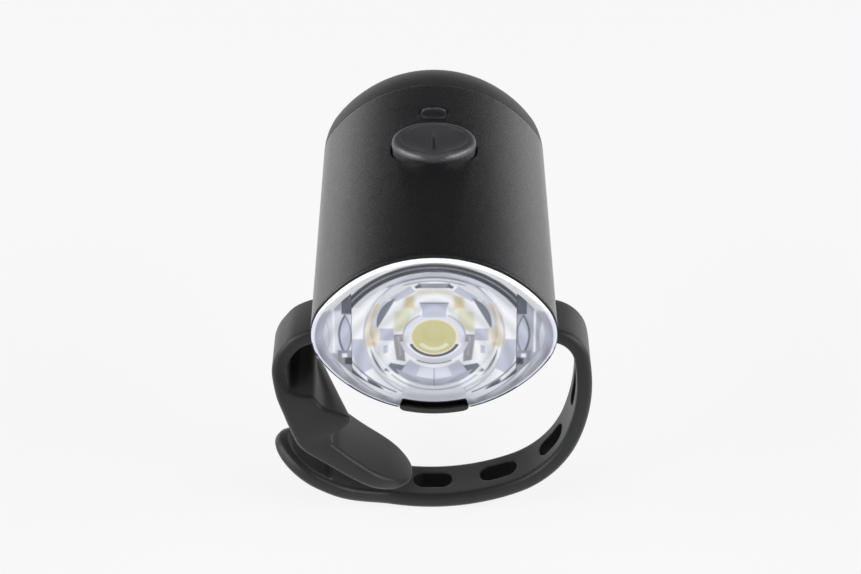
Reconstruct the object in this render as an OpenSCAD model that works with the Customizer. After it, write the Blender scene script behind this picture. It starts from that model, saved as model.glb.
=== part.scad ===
// Bike headlight: an eye-section head on a swivelling rubber bar strap.
// Frame: the origin is the centre of the handlebar under the saddle, the bar
// runs along Y, Z is up and the beam leaves towards -Y. Sizes in millimetres.

/* [Head] */
// Width of the head across the two tips of its eye section
head_w = 34; // [33:0.5:36]
// Height of the head at its middle
head_h = 24; // [23.5:0.5:25]
// Radius of the two rounded tips
tip_r = 7; // [6.5:0.5:7.5]
// Wall of the housing tube
wall = 1.5; // [1.2:0.1:1.6]
// Length of the housing tube
housing_l = 58.7; // [58:0.5:62]
// Length of the rounded rear cap
cap_l = 12; // [11.5:0.5:14]
// How far the flat of the rear cap is drawn in from the outline
cap_drop = 4; // [3:0.5:4.5]
// Distance from the lens face back to the swivel axis
pivot_back = 31; // [30:0.5:32]

/* [Lens and optic] */
// Thickness of the lens at its rim
lens_t = 1; // [0.9:0.1:1.2]
// Rounding of the front edge of the lens
lens_edge_r = 0.8; // [0.5:0.1:0.8]
// Width of the locating tab under the lens
tab_w = 9.7; // [8:0.5:11]
// Width of the LED package
led_w = 5; // [3.5:0.5:5]

/* [Button] */
// Diameter of the button
button_d = 12.4; // [11.6:0.2:12.8]
// How far the button's rim stands above the crest of the housing
button_rise = 1.2; // [0.8:0.1:1.8]
// Travel of the button
button_travel = 0.4; // [0.2:0.1:0.4]
// Place of the button along the housing, as a share of its length
button_at = 0.6147; // [0.59:0.01:0.63]
// Diameter of the indicator window
pipe_d = 4.1; // [3.6:0.1:4.6]

/* [Mount] */
// Diameter of the handlebar that the saddle fits
bar_d = 22.2; // [21.8:0.1:22.4]
// Length of the saddle along the bar
saddle_l = 16; // [15:0.5:18]
// Thickness of the rubber over the crest of the bar
saddle_t = 2; // [1.8:0.1:2.4]
// Width of the strap at its tongue and at its tab
arm_w = 13.4; // [12.6:0.2:14]
// Width of the strap at its roots beside the saddle
root_w = 10.8; // [10.4:0.2:11.6]
// Width of the slotted part of the strap
strap_w = 9.4; // [8.8:0.2:10]
// Thickness of the strap
strap_t = 2.3; // [2:0.1:2.4]
// Distance from one slot to the next
slot_pitch = 10.6; // [10.2:0.1:11]
// Radius of the swivel base under the head
base_r = 9.5; // [8.5:0.5:10.5]

/* [Hidden] */
$fn = 96;
e = 0.01;
gap = 0.05;
run = 0.3;
half_w = head_w / 2;
half_h = head_h / 2;
tip_c = half_w - tip_r;
big_r = (tip_c * tip_c + half_h * half_h - tip_r * tip_r) / (2 * (half_h - tip_r));
big_c = big_r - half_h;
tip_a = atan2(big_c, tip_c);

bar_r = bar_d / 2;
plate_t = 1.6;
base_t = 1.1;
plate_z = bar_r + saddle_t;
base_z = plate_z + plate_t + run;
head_z = base_z + base_t + half_h;

gasket_t = 0.3;
lens_y = -pivot_back;
rim_y = lens_y + lens_t;
house_y = rim_y + gasket_t;
seam_y = house_y + housing_l;
rear_y = seam_y + cap_l;
cap_in = wall + 1.7;
rear_t = 1.8;

flange_w = head_w - 11.4;
holder_t = 0.6;
optic_r = (half_h - wall - holder_t - 0.35) / cos(22.5);
flange_y = rim_y + gap;
flange_t = 2.5;
tier_h = 3.2;
optic_y = flange_y + flange_t;
optic_end = optic_y + 3 * tier_h;
board_y = optic_end + 1.5;
board_r = half_h - wall - 1.2;
sink_y = board_y + 1.6;
tray_y = sink_y + 4 + gap;

tray_z = half_h - 11.4;
lead_z = half_h - 4.8;
cell_w = head_w - 14;
cell_h = head_h - 17;
cell_z = tray_z - 0.8 - cell_h / 2;
cell_y = tray_y + 2.2;
cell_l = seam_y - 5 - cell_y;
pcb_z = tray_z + 1.2 + gap;
pcb_t = 1.2;
pcb_top = pcb_z + pcb_t;
pcb_y = tray_y + 3.3;
socket_h = 3.2;
socket_z = pcb_z - gap - socket_h / 2;
rear_in = rear_y - rear_t;
boss_x = tip_c - 0.1;
boss_z = -1.2;

button_y = house_y + button_at * housing_l;
button_r = button_d / 2;
crest = half_h + button_rise;
switch_top = pcb_top + 3.5;
carrier_r = button_r + 1;
carrier_top = switch_top + 1.1;
pipe_y = button_y + 11.8;

// Points on an arc about [x, z] from angle a0 to just before a1, in n steps
function arc(x, z, r, a0, a1, n) = [for (k = [0:n - 1]) let (a = a0 + (a1 - a0) * k / n)
    [x + r * cos(a), z + r * sin(a)]];
// Inner crest of the housing at a distance x from the middle, for an inset i
function roof(x, i) = sqrt(pow(big_r - i, 2) - x * x) - big_c;

// Strap band as a chain of tangent bends, clockwise from the right of the saddle:
// each row is a radius and a sweep in degrees, and row 0 is a straight length
band_z = plate_z + 1.3;
band_x = 9;
chain = [[0, 8], [5, 79], [25, 31.5], [15, 48], [34.5, 13.6], [34.5, 26.4], [38, 21.5]];
split = 5;
// State [x, z, heading] at the start of row i
function at(i) = i == 0 ? [band_x, band_z, 0] : bend(at(i - 1), chain[i - 1]);
function bend(p, c) = c[0] == 0 ? [p[0] + c[1], p[1], p[2]] : [
    p[0] + c[0] * (sin(p[2]) - sin(p[2] - c[1])),
    p[1] - c[0] * (cos(p[2]) - cos(p[2] - c[1])),
    p[2] - c[1]];
function span(i) = chain[i][0] == 0 ? chain[i][1] : chain[i][0] * chain[i][1] * PI / 180;
function total(i) = i < 0 ? 0 : span(i) + total(i - 1);
// State at a distance s along the chain
function along(s, i = 0) = s <= span(i) || i == len(chain) - 1
    ? bend(at(i), [chain[i][0], chain[i][0] == 0 ? s : s / chain[i][0] * 180 / PI])
    : along(s - span(i), i + 1);
// Distances along the chain at which rows i to j get a point, and a point beside the band
function steps(k) = chain[k][0] == 0 ? 1 : ceil(chain[k][1] / 6);
function stations(i, j) = concat([for (k = [i:j]) for (m = [0:steps(k) - 1])
    total(k - 1) + span(k) * m / steps(k)], [total(j)]);
function beside(p, d) = [p[0] - d * sin(p[2]), p[1] + d * cos(p[2])];
slot_s = total(3) + 12.7;
peg_s = slot_s + slot_pitch;

// Closed smooth curve through the given points (Catmull-Rom, n steps a span)
function spline(p, n) = [for (i = [0:len(p) - 1]) for (k = [0:n - 1])
    let (m = len(p), a = p[(i + m - 1) % m], b = p[i], c = p[(i + 1) % m], d = p[(i + 2) % m], t = k / n)
    0.5 * (2 * b + t * (c - a) + t * t * (2 * a - 5 * b + 4 * c - d) + t * t * t * (3 * b - a - 3 * c + d))];

// Helpers

// Eye section of the head, drawn in by an inset: four tangent arcs
module oval(i) {
    polygon(concat(arc(tip_c, 0, tip_r - i, -tip_a, tip_a, 20), arc(0, -big_c, big_r - i, tip_a, 180 - tip_a, 36),
        arc(-tip_c, 0, tip_r - i, 180 - tip_a, 180 + tip_a, 20),
        arc(0, big_c, big_r - i, 180 + tip_a, 360 - tip_a, 36)));
}

// Extrude an XZ outline along Y from y0 to y1
module prism(y0, y1) {
    translate([0, y1, 0]) rotate([90, 0, 0]) linear_extrude(y1 - y0) children();
}

// Place in the head's own frame, at the centre of the eye section
module head() {
    translate([0, 0, head_z]) children();
}

// Thin slice of the eye section at y, drawn in by an inset
module slice(y, i) {
    prism(y, y + e) oval(i);
}

// Cylinder along Y from y0 to y1 at [x, z]
module rod_y(r, y0, y1, x = 0, z = 0) {
    translate([x, y0, z]) rotate([-90, 0, 0]) cylinder(r = r, h = y1 - y0);
}

// Rectangle with round corners
module rounded(w, h, r) {
    square([w - 2 * r, h], center = true);
    square([w, h - 2 * r], center = true);
    for (x = [-1, 1]) for (y = [-1, 1]) translate([x * (w / 2 - r), y * (h / 2 - r)]) circle(r, $fn = 32);
}

// Band of the strap over rows i to j, between the offsets a and b from its middle
module band(i, j, a, b) {
    q = [for (s = stations(i, j)) along(s)];
    prism(-arm_w / 2, arm_w / 2) polygon(concat([for (p = q) beside(p, b)],
        [for (k = [len(q) - 1:-1:0]) beside(q[k], a)]));
}

// Rounded slot through the band at a distance s along it
module slot(s, w = 5.2, l = 4.2) {
    p = along(s);
    translate([p[0], 0, p[1]]) rotate([0, -p[2], 0]) translate([0, 0, -4])
        linear_extrude(8) rounded(w, l, 1.4);
}

// Outline of the locating tab, grown by g
module tab_outline(g) {
    intersection() {
        difference() {
            oval(-g);
            oval(1.25 + g);
        }
        translate([-tab_w / 2 - g, -head_h]) square([tab_w + 2 * g, head_h]);
    }
}

// Head

module housing() {
    color("#202123") head() difference() {
        union() {
            prism(house_y, seam_y) difference() {
                oval(0);
                oval(wall);
            }
            prism(lens_y + 0.2, house_y + e) tab_outline(0);
        }
        translate([0, button_y, 0]) cylinder(r = button_r + 0.25, h = head_h);
        translate([0, pipe_y, 0]) cylinder(d = pipe_d + 0.2, h = head_h);
        translate([0, 0, -head_h]) cylinder(r = 1.6, h = head_h);
    }
}

module front_lens() {
    color("#dfe6ee", 0.4) head() {
        difference() {
            hull() {
                for (a = [0:45:90]) slice(lens_y + lens_edge_r * (1 - sin(a)), lens_edge_r * (1 - cos(a)));
                slice(rim_y - e, 0);
            }
            prism(lens_y - 1, rim_y + 1) tab_outline(0.1);
        }
        for (s = [-1, 1]) prism(rim_y - 0.3, rim_y + 5) intersection() {
            difference() {
                oval(wall + 0.1);
                oval(wall + 1.4);
            }
            translate([s * (flange_w / 2 + 0.5 + head_w / 2), 0]) square([head_w, head_h], center = true);
        }
    }
}

module lens_gasket() {
    color("#101010") head() difference() {
        prism(rim_y + e, house_y - e) difference() {
            oval(0.1);
            oval(wall - 0.1);
        }
        prism(lens_y, house_y + 1) tab_outline(0.1);
    }
}

module collimator() {
    color("#eef2ff", 0.5) head() difference() {
        union() {
            difference() {
                union() {
                    difference() {
                        optic_body();
                        bowl(facet_r[0], facet_r[1], 0.35, 1.25);
                    }
                    crown(facet_r[1], facet_r[2], 1.25, 0.75);
                }
                bowl(facet_r[2], facet_r[3], 0.75, 1.5);
            }
            crown(facet_r[3], facet_r[4], 1.5, 0.7);
            intersection() {
                translate([0, flange_y + 6.4, 0]) sphere(6);
                rod_y(facet_r[4], flange_y, flange_y + 2);
            }
        }
        rod_y(led_w / 2 + 0.7, optic_end - 3.4, optic_end + 1);
    }
}

// Flange and faceted tiers of the optic, before its front is cut
module optic_body() {
    prism(flange_y, optic_y) intersection() {
        oval(wall + 0.5);
        square([flange_w, head_h], center = true);
    }
    for (k = [0:2])
        translate([0, optic_y + k * tier_h - e, 0]) rotate([-90, 0, 0]) rotate([0, 0, 22.5])
            cylinder(r1 = tier(k), r2 = tier(k + 1), h = tier_h + e, $fn = 8);
}

// Radii of the rings of facets in the front of the optic, from the outside
facet_r = [for (k = [0.98, 0.89, 0.76, 0.55, 0.4]) k * (half_h - wall - 0.5)];

// Faceted cone cut into the front of the optic, from radius r1 at depth d1 to r2 at d2
module bowl(r1, r2, d1, d2) {
    translate([0, flange_y + d1, 0]) rotate([-90, 0, 0]) cylinder(r1 = r1, r2 = r2, h = d2 - d1, $fn = 16);
    translate([0, flange_y - 1, 0]) rotate([-90, 0, 0]) cylinder(r = r1, h = d1 + 1 + e, $fn = 16);
}

// Faceted cone that stands in such a cut, from radius r1 at depth d1 up to r2 at d2
module crown(r1, r2, d1, d2) {
    translate([0, flange_y + d2, 0]) rotate([-90, 0, 0]) cylinder(r1 = r2, r2 = r1, h = d1 - d2, $fn = 16);
    translate([0, flange_y + d1 - e, 0]) rotate([-90, 0, 0]) cylinder(r = r1, h = 0.2, $fn = 16);
}

// Corner radius of tier k of the collimator, from the front
function tier(k) = optic_r * [1, 0.87, 0.68, 0.44][k];

module optic_holder() {
    color("#f2f2f0") head() difference() {
        union() {
            difference() {
                prism(optic_y + gap, optic_end) difference() {
                    oval(wall + 0.2);
                    oval(wall + 0.2 + holder_t);
                }
                for (s = [-1, 1]) translate([s * (flange_w / 2 + 0.2 + head_w / 2), rim_y, 0])
                    cube([head_w, 11, head_h], center = true);
            }
            prism(optic_end - 1, optic_end) oval(wall + 0.2);
            for (x = [-1, 1]) for (z = [-1, 1])
                rod_y(1, optic_end - e, board_y - gap, x * 4.4, z * (board_r - 2.9));
        }
        rod_y(tier(3) + 1.1, optic_end - 2, optic_end + 1);
        for (x = [-1.6, 1.6]) rod_y(1, optic_end - 2, board_y, x, lead_z);
    }
}

module led_board() {
    color("#d9dcd6") head() difference() {
        rod_y(board_r, board_y, sink_y - e);
        for (x = [-1, 1]) rod_y(1.1, board_y - 1, sink_y + 1, x * 7.2);
        for (x = [-1.6, 1.6]) rod_y(0.8, board_y - 1, sink_y + 1, x, lead_z);
    }
}

module led_package() {
    color("#e8e4d8") head() translate([-led_w / 2, board_y - 0.71, -led_w / 2]) cube([led_w, 0.7, led_w]);
}

module led_phosphor() {
    r = led_w / 2 - 0.3;
    color("#e6d84a") head() intersection() {
        rod_y(r, board_y - 4, board_y - 0.72);
        translate([0, board_y + 0.9, 0]) sphere(r + 0.55);
    }
}

module led_board_screws() {
    color("#b9bcc0") head() for (x = [-7.2, 7.2]) screw(1.6, 1, 0.95, 4, board_y - e, x, 0);
}

// Pan-head screw driven towards +Y, its head's seat at y, with a cross of slots
module screw(hr, hh, r, l, y, x, z) {
    difference() {
        union() {
            rod_y(hr, y - hh, y, x, z);
            rod_y(r, y - e, y + l, x, z);
        }
        for (q = [[2.2, 0.5], [0.5, 2.2]])
            translate([x - q[0] / 2, y - hh - 1, z - q[1] / 2]) cube([q[0], 1.5, q[1]]);
    }
}

module heat_sink() {
    color("#a9adb2") head() difference() {
        prism(sink_y, tray_y - gap) oval(wall + gap);
        for (x = [-7.2, 7.2]) rod_y(1, sink_y - 1, tray_y + 1, x);
        for (x = [-7.2, 7.2]) rod_y(1, sink_y + 0.5, tray_y + 1, x, tray_z + 3.8);
        for (x = [-1.6, 1.6]) rod_y(1, sink_y - 1, tray_y + 1, x, lead_z);
    }
}

module chassis() {
    color("#2c2f36") head() difference() {
        union() {
            translate([-cell_w / 2 - 1, tray_y, tray_z]) cube([cell_w + 2, seam_y + 1 - tray_y, 1.2]);
            for (x = [-1, 1]) translate([x * (cell_w / 2 + 0.75) - 0.5, tray_y, tray_z - 4.2]) cube([1, cell_l + 2, 5]);
            prism(tray_y, tray_y + 1.4) intersection() {
                oval(wall + 0.3);
                translate([-cell_w / 2 - 1, tray_z - 6.6]) square([cell_w + 2, 12.4]);
            }
            for (x = [-boss_x, boss_x]) rod_y(2.1, seam_y - 7, rear_in - gap, x, boss_z);
        }
        translate([-cell_w / 2 - 0.2, cell_y - 0.1, tray_z - 9.6]) cube([cell_w + 0.4, cell_l + 8, 9.4]);
        for (x = [-7.2, 7.2]) rod_y(1.1, tray_y - 1, tray_y + 2, x, tray_z + 3.8);
        for (x = [-1.6, 1.6]) rod_y(1, tray_y - 1, tray_y + 2, x, lead_z);
        for (x = [-boss_x, boss_x]) rod_y(0.95, rear_in - 6, rear_in + 1, x, boss_z);
        for (x = [-2, 2]) translate([x, cell_y + cell_l + 1.8, tray_z - 1]) cylinder(r = 0.8, h = 3);
    }
}

module chassis_screws() {
    color("#b9bcc0") head() for (x = [-7.2, 7.2])
        translate([x, 2 * tray_y + 1.4, tray_z + 3.8]) rotate([0, 0, 180])
            screw(1.6, 0.9, 0.95, 4, tray_y - e, 0, 0);
}

module battery() {
    color("#8f9aa8") head() difference() {
        translate([0, cell_y, cell_z]) rotate([-90, 0, 0]) linear_extrude(cell_l) rounded(cell_w, cell_h, 1.6);
    }
}

module battery_leads() {
    color("#b03030") head() for (x = [-2, 2]) translate([x, cell_y + cell_l + e, tray_z - 2])
        wire(0.45, 1.8, pcb_z - gap - tray_z + 2);
}

// Wire that runs a along Y, turns up at a small bead and rises to height b
module wire(d, a, b) {
    rod_y(d, 0, a);
    translate([0, a, 0]) sphere(d * 1.2);
    translate([0, a, 0]) cylinder(r = d, h = b);
}

module main_board() {
    color("#1d5c3a") head() difference() {
        translate([0, 0, pcb_z]) linear_extrude(pcb_t) {
            translate([-cell_w / 2 - 0.5, pcb_y]) square([cell_w + 1, seam_y - 8.5 - pcb_y]);
            translate([-7.4, pcb_y]) square([14.8, rear_in - 1.2 - pcb_y]);
        }
        for (x = [-2, 2]) translate([x, cell_y + cell_l + 1.8, pcb_z - 1]) cylinder(r = 0.6, h = 9);
    }
}

module board_components() {
    color("#26282b") head() translate([0, 0, pcb_top + e]) {
        part(5, pipe_y + 5, 4, 4, 0.8);
        part(-5, pipe_y + 5, 3, 3, 1.1);
        part(-4.6, pipe_y + 10.5, 4, 3.6, 2);
        part(4.6, pipe_y + 10.5, 4, 3.6, 0.9);
        for (x = [-8.4, 8.4]) for (y = [2.6, 0.8]) part(x, pipe_y - y, 1.6, 0.9, 0.8);
        for (x = [-4.2, 4.2]) part(x, pipe_y + 14.5, 2, 1.2, 1);
    }
}

module part(x, y, w, l, h) {
    translate([x - w / 2, y - l / 2, 0]) cube([w, l, h]);
}

module tact_switch() {
    color("#3a3a3a") head() translate([0, button_y, pcb_top + e]) difference() {
        translate([-3.1, -3.1, 0]) cube([6.2, 6.2, 3.5 - e]);
        translate([0, 0, 2]) cylinder(r = 2.05, h = 4);
    }
}

module switch_carrier() {
    color("#44474d") head() translate([0, button_y, pcb_top + e]) difference() {
        cylinder(r = carrier_r + 1.3, h = carrier_top - pcb_top - 2 * e);
        translate([0, 0, -1]) cylinder(r = carrier_r, h = 10);
    }
}

module button_seal() {
    color("#151515") head() difference() {
        intersection() {
            translate([0, button_y, carrier_top + e]) cylinder(r = carrier_r + 1.3, h = 6);
            prism(house_y, seam_y) oval(wall + gap);
        }
        translate([0, button_y, 0]) cylinder(r = button_r + 0.35, h = 20);
    }
}

module button_cap() {
    f = carrier_top - 0.1;
    color("#1a1a1c") head() translate([0, button_y, 0]) difference() {
        union() {
            rotate_extrude() {
                translate([0, f - 0.6]) square([carrier_r - 0.35, 0.6]);
                translate([0, f - 0.6]) square([button_r, crest - 0.6 - f + 0.6]);
                translate([0, crest - 0.7]) square([button_r - 0.6, 0.7]);
                translate([button_r - 0.6, crest - 0.6]) circle(0.6);
            }
        }
        translate([0, 0, f - 1]) difference() {
            cylinder(r = button_r - 1.2, h = crest - 2.2 - f + 1);
            cylinder(r = 1.6, h = 9);
        }
        translate([0, 0, f - 1]) cylinder(r = 3, h = 1 + switch_top + 0.6 - f);
        translate([0, 0, crest - 0.75 + 18]) sphere(18);
        translate([-0.25, -2.6, crest - 1.05]) cube([0.5, 5.2, 1]);
    }
}

module switch_plunger() {
    color("#d8c9a0") head() translate([0, button_y, switch_top - 1]) cylinder(r = 1.75, h = 1.6 - e);
}

module indicator_led() {
    color("#e9efe2") head() translate([-0.8, pipe_y - 0.4, pcb_top + e]) cube([1.6, 0.8, 0.7]);
}

module indicator_light_pipe() {
    ph = roof(pipe_d / 2 + 0.8, wall) - 0.05;
    color("#e4e9ef", 0.6) head() translate([0, pipe_y, 0]) {
        translate([0, 0, pcb_top + 0.9]) cylinder(r = 1.5, h = ph - pcb_top - 0.9);
        translate([0, 0, ph - 0.8]) cylinder(d = pipe_d + 1.5, h = 0.8);
        intersection() {
            translate([0, 0, ph - e]) cylinder(d = pipe_d, h = 6);
            translate([0, 0, half_h + 0.5 - 5]) sphere(5);
        }
    }
}

module usb_socket() {
    color("#c2c6ca") head() translate([0, rear_in - 0.1, socket_z]) rotate([90, 0, 0]) difference() {
        linear_extrude(7.4) rounded(9, socket_h, 1.5);
        translate([0, 0, -1]) linear_extrude(7.4) rounded(8.4, socket_h - 0.6, 1.25);
    }
    color("#202020") head() translate([-3.3, rear_in - 6.9, socket_z - 0.35]) cube([6.6, 6, 0.7]);
}

cover_w = 2 * (boss_x - 2.4);
cover_h = 8;
cover_t = 1.2;
cover_z = socket_z + cover_h / 2 - 0.6;
cover_y = rear_y - 0.6;

module port_cover() {
    color("#1b1b1b") head() {
        translate([-cover_w / 2 + 1.2, cover_y, cover_z]) rotate([0, 90, 0]) cylinder(r = 0.6, h = cover_w - 2.4);
        intersection() {
            translate([0, rear_y, socket_z]) rotate([90, 0, 0]) linear_extrude(cover_t) rounded(cover_w, cover_h, 1.6);
            translate([-cover_w, cover_y - 2, cover_z - 20]) cube([2 * cover_w, 5, 20]);
        }
        translate([0, rear_y - cover_t + e, socket_z]) rotate([90, 0, 0])
            linear_extrude(0.5) rounded(9, 3.4, 1.2);
        translate([0, rear_y - e, socket_z - cover_h / 2 + 1.4]) rotate([-90, 0, 0])
            linear_extrude(0.5) rounded(6, 1, 0.45);
    }
}

module rear_cap() {
    color("#2a2b2d") head() difference() {
        union() {
            hull() for (a = [0:10:90]) slice(seam_y + (cap_l - e) * sin(a) + e * (1 - sin(a)), cap_drop * (1 - cos(a)));
            prism(seam_y - 4, seam_y + 2) oval(wall + 0.08);
        }
        prism(seam_y - 5, rear_in) oval(cap_in);
        prism(seam_y - 2.7, seam_y - 1.5) difference() {
            oval(0);
            oval(wall + 1.1);
        }
        translate([0, rear_y + 1, socket_z]) rotate([90, 0, 0])
            linear_extrude(1 + cover_t + gap) rounded(cover_w + 0.6, cover_h + 0.6, 0.6);
        translate([0, rear_y + 1, socket_z]) rotate([90, 0, 0])
            linear_extrude(6) rounded(10.4, 4.6, 1.8);
        for (x = [-boss_x, boss_x]) {
            rod_y(1.1, rear_in - 1, rear_y + 1, x, boss_z);
            rod_y(1.75, rear_y - 1, rear_y + 1, x, boss_z);
        }
    }
}

module rear_seal() {
    color("#101010") head() prism(seam_y - 2.6, seam_y - 1.6) difference() {
        oval(wall + gap);
        oval(wall + 1);
    }
}

module rear_cap_screws() {
    color("#b9bcc0") head() for (x = [-boss_x, boss_x])
        translate([x, 2 * rear_y - 1, boss_z]) rotate([0, 0, 180])
            translate([0, 0, 0]) screw(1.6, 0.9, 0.9, 6, rear_y - e, 0, 0);
}

module led_leads() {
    color("#a03028") head() for (x = [-1.6, 1.6]) translate([x, board_y + 0.3, lead_z])
        mirror([0, 0, 1]) wire(0.5, pcb_y + 0.45 - board_y, lead_z - pcb_top - 0.02);
}

// Mount

module swivel_base() {
    color("#1d1e20") difference() {
        translate([0, 0, base_z]) cylinder(r = base_r, h = half_h);
        head() prism(-base_r - 1, base_r + 1) oval(-0.02);
        cylinder(r = 1.6, h = head_z);
    }
}

module pivot_screw() {
    color("#b9bcc0") difference() {
        union() {
            translate([0, 0, plate_z - 1.6]) cylinder(r = 3.2, h = 1.55);
            translate([0, 0, plate_z - 0.1]) cylinder(r = 2, h = base_z - plate_z + 0.1 - e);
            translate([0, 0, plate_z]) cylinder(r = 1.5, h = head_z - half_h + wall + 2.2 - plate_z);
        }
        translate([0, 0, plate_z - 1.7]) cylinder(r = 1.3, h = 1, $fn = 6);
    }
}

module pivot_nut() {
    color("#a9adb2") difference() {
        intersection() {
            translate([-5, -5, head_z - half_h]) cube([10, 10, wall + 2.3]);
            head() prism(-9, 9) oval(wall + gap);
        }
        cylinder(r = 1.55, h = head_z);
    }
}

module friction_washer() {
    color("#c9a646") translate([0, 0, plate_z + plate_t + 0.02]) difference() {
        cylinder(r = 6, h = run - 0.04);
        translate([0, 0, -1]) cylinder(r = 2.4, h = 3);
    }
}

// Outline of the swivel plate, grown by g
module plate_outline(g) {
    circle(6.4 + g);
    square([18 + 2 * g, 5 + 2 * g], center = true);
}

module swivel_plate() {
    color("#33363b") translate([0, 0, plate_z]) linear_extrude(plate_t) difference() {
        plate_outline(0);
        circle(2.05);
    }
}

// Hook arm outline in XZ: ring, solid web, nose and tongue
hook = [[-9, band_z + 1.15], [-14, band_z + 1.2], [-18.4, band_z + 1.1], [-20.6, 14.4], [-22.3, 12.7],
    [-23.5, 10.8], [-24, 8.4], [-23.5, 5], [-22.3, 1.6], [-21.3, -1.2], [-20.2, -3.6], [-17.4, -5.8], [-13.4, -8.5],
    [-10, -10.5], [-6.4, -11.9], [-4.2, -12.2], [-3.5, -11.6], [-5.2, -10.6], [-9, -8.5], [-12.8, -5.5],
    [-15.4, -2.6], [-14.6, -1], [-13.2, 0.3], [-13.3, 1.7], [-15, 2.3], [-16.9, 3.6], [-18.4, 5.4],
    [-20.3, 5.5], [-21.7, 6.7], [-21.9, 8.7], [-20.8, 11], [-18.4, band_z - 1.3], [-14, band_z - 1.3],
    [-9, band_z - 1.3]];

module strap() {
    p = along(peg_s);
    color("#2b2c2e") {
        difference() {
            union() {
                translate([0, 0, 6.2]) linear_extrude(plate_z + 1.4 - 6.2) rounded(20.6, saddle_l, 2.5);
                difference() {
                    band(0, split - 1, -strap_t / 2, strap_t / 2);
                    for (s = [-1, 1]) rotate([90, 0, 90]) linear_extrude(40)
                        polygon(concat([for (k = [0:8]) let (t = k / 8)
                            [s * (strap_w + (root_w - strap_w) * t * t * (3 - 2 * t)) / 2, -6 + 12 * t]],
                            [[s * root_w / 2, 20], [s * 20, 20], [s * 20, -20], [s * strap_w / 2, -20]]));
                    for (k = [1:3]) slot(slot_s - k * slot_pitch);
                }
                intersection() {
                    prism(-arm_w / 2, arm_w / 2) polygon(spline(hook, 4));
                    translate([0, 0, -30]) linear_extrude(60) {
                        translate([-40, -arm_w / 2]) square([40 - 3.4 - arm_w / 2, arm_w]);
                        translate([-3.4 - arm_w / 2, 0]) circle(arm_w / 2);
                        translate([-20, -root_w / 2]) square([20, root_w]);
                    }
                    rotate([90, 0, 90]) translate([0, 0, -40]) linear_extrude(40) polygon(concat(
                        [for (k = [0:8]) let (t = k / 8)
                            [(arm_w + (root_w - arm_w) * t * t * (3 - 2 * t)) / 2, 3 + 8 * t]],
                        [[root_w / 2, 20], [-root_w / 2, 20]],
                        [for (k = [8:-1:0]) let (t = k / 8)
                            [-(arm_w + (root_w - arm_w) * t * t * (3 - 2 * t)) / 2, 3 + 8 * t]],
                        [[-arm_w / 2, -20], [arm_w / 2, -20]]));
                }
                translate([p[0], 0, p[1]]) rotate([0, -p[2], 0]) translate([0, 0, -2.9])
                    linear_extrude(6) rounded(2.8, 3.4, 0.8);
            }
            rod_y(bar_r, -20, 20);
            translate([0, 0, plate_z]) linear_extrude(9) plate_outline(gap);
            translate([0, 0, plate_z + 1.4]) cylinder(r = base_r + 0.4, h = 9);
            cylinder(r = 3.5, h = 20);
        }
    }
}

// Plan outline of the tail: slotted part, then the pull tab with a round end
module tail_outline(g) {
    polygon(concat([for (k = [0:10]) let (t = k / 10)
        [-6 - 9 * t, (strap_w + (arm_w - strap_w) * t * t * (3 - 2 * t)) / 2 - g]],
        [for (k = [0:12]) let (a = 90 + 15 * k) [-18.2 + (arm_w / 2 - g) * cos(a), (arm_w / 2 - g) * sin(a)]],
        [for (k = [10:-1:0]) let (t = k / 10)
        [-6 - 9 * t, g - (strap_w + (arm_w - strap_w) * t * t * (3 - 2 * t)) / 2]],
        [[12, g - strap_w / 2], [12, strap_w / 2 - g]]));
}

module strap_tail() {
    color("#2e2f31") difference() {
        intersection() {
            band(split, split + 1, -strap_t / 2, strap_t / 2);
            translate([0, 0, -30]) linear_extrude(40) tail_outline(0);
        }
        intersection() {
            band(split, split + 1, -strap_t, 0.5 - strap_t / 2);
            translate([-40, -20, -30]) cube([40 - 13.8, 40, 40]);
            translate([0, 0, -30]) linear_extrude(40) tail_outline(1.3);
        }
        slot(slot_s);
        slot(peg_s);
    }
}

housing();
front_lens();
lens_gasket();
collimator();
optic_holder();
led_board();
led_package();
led_phosphor();
led_board_screws();
heat_sink();
chassis();
chassis_screws();
battery();
battery_leads();
main_board();
board_components();
tact_switch();
switch_carrier();
button_seal();
button_cap();
switch_plunger();
indicator_led();
indicator_light_pipe();
usb_socket();
port_cover();
rear_cap();
rear_seal();
rear_cap_screws();
led_leads();
swivel_base();
pivot_screw();
pivot_nut();
friction_washer();
swivel_plate();
strap();
strap_tail();
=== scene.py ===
"""Bike headlight: the looks of an eye-section lamp head on a swivelling rubber bar strap.

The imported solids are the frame. Skins, lens, optic, button and rubber parts are worked out
here as surfaces in millimetres and put where the solids are.
"""

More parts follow.
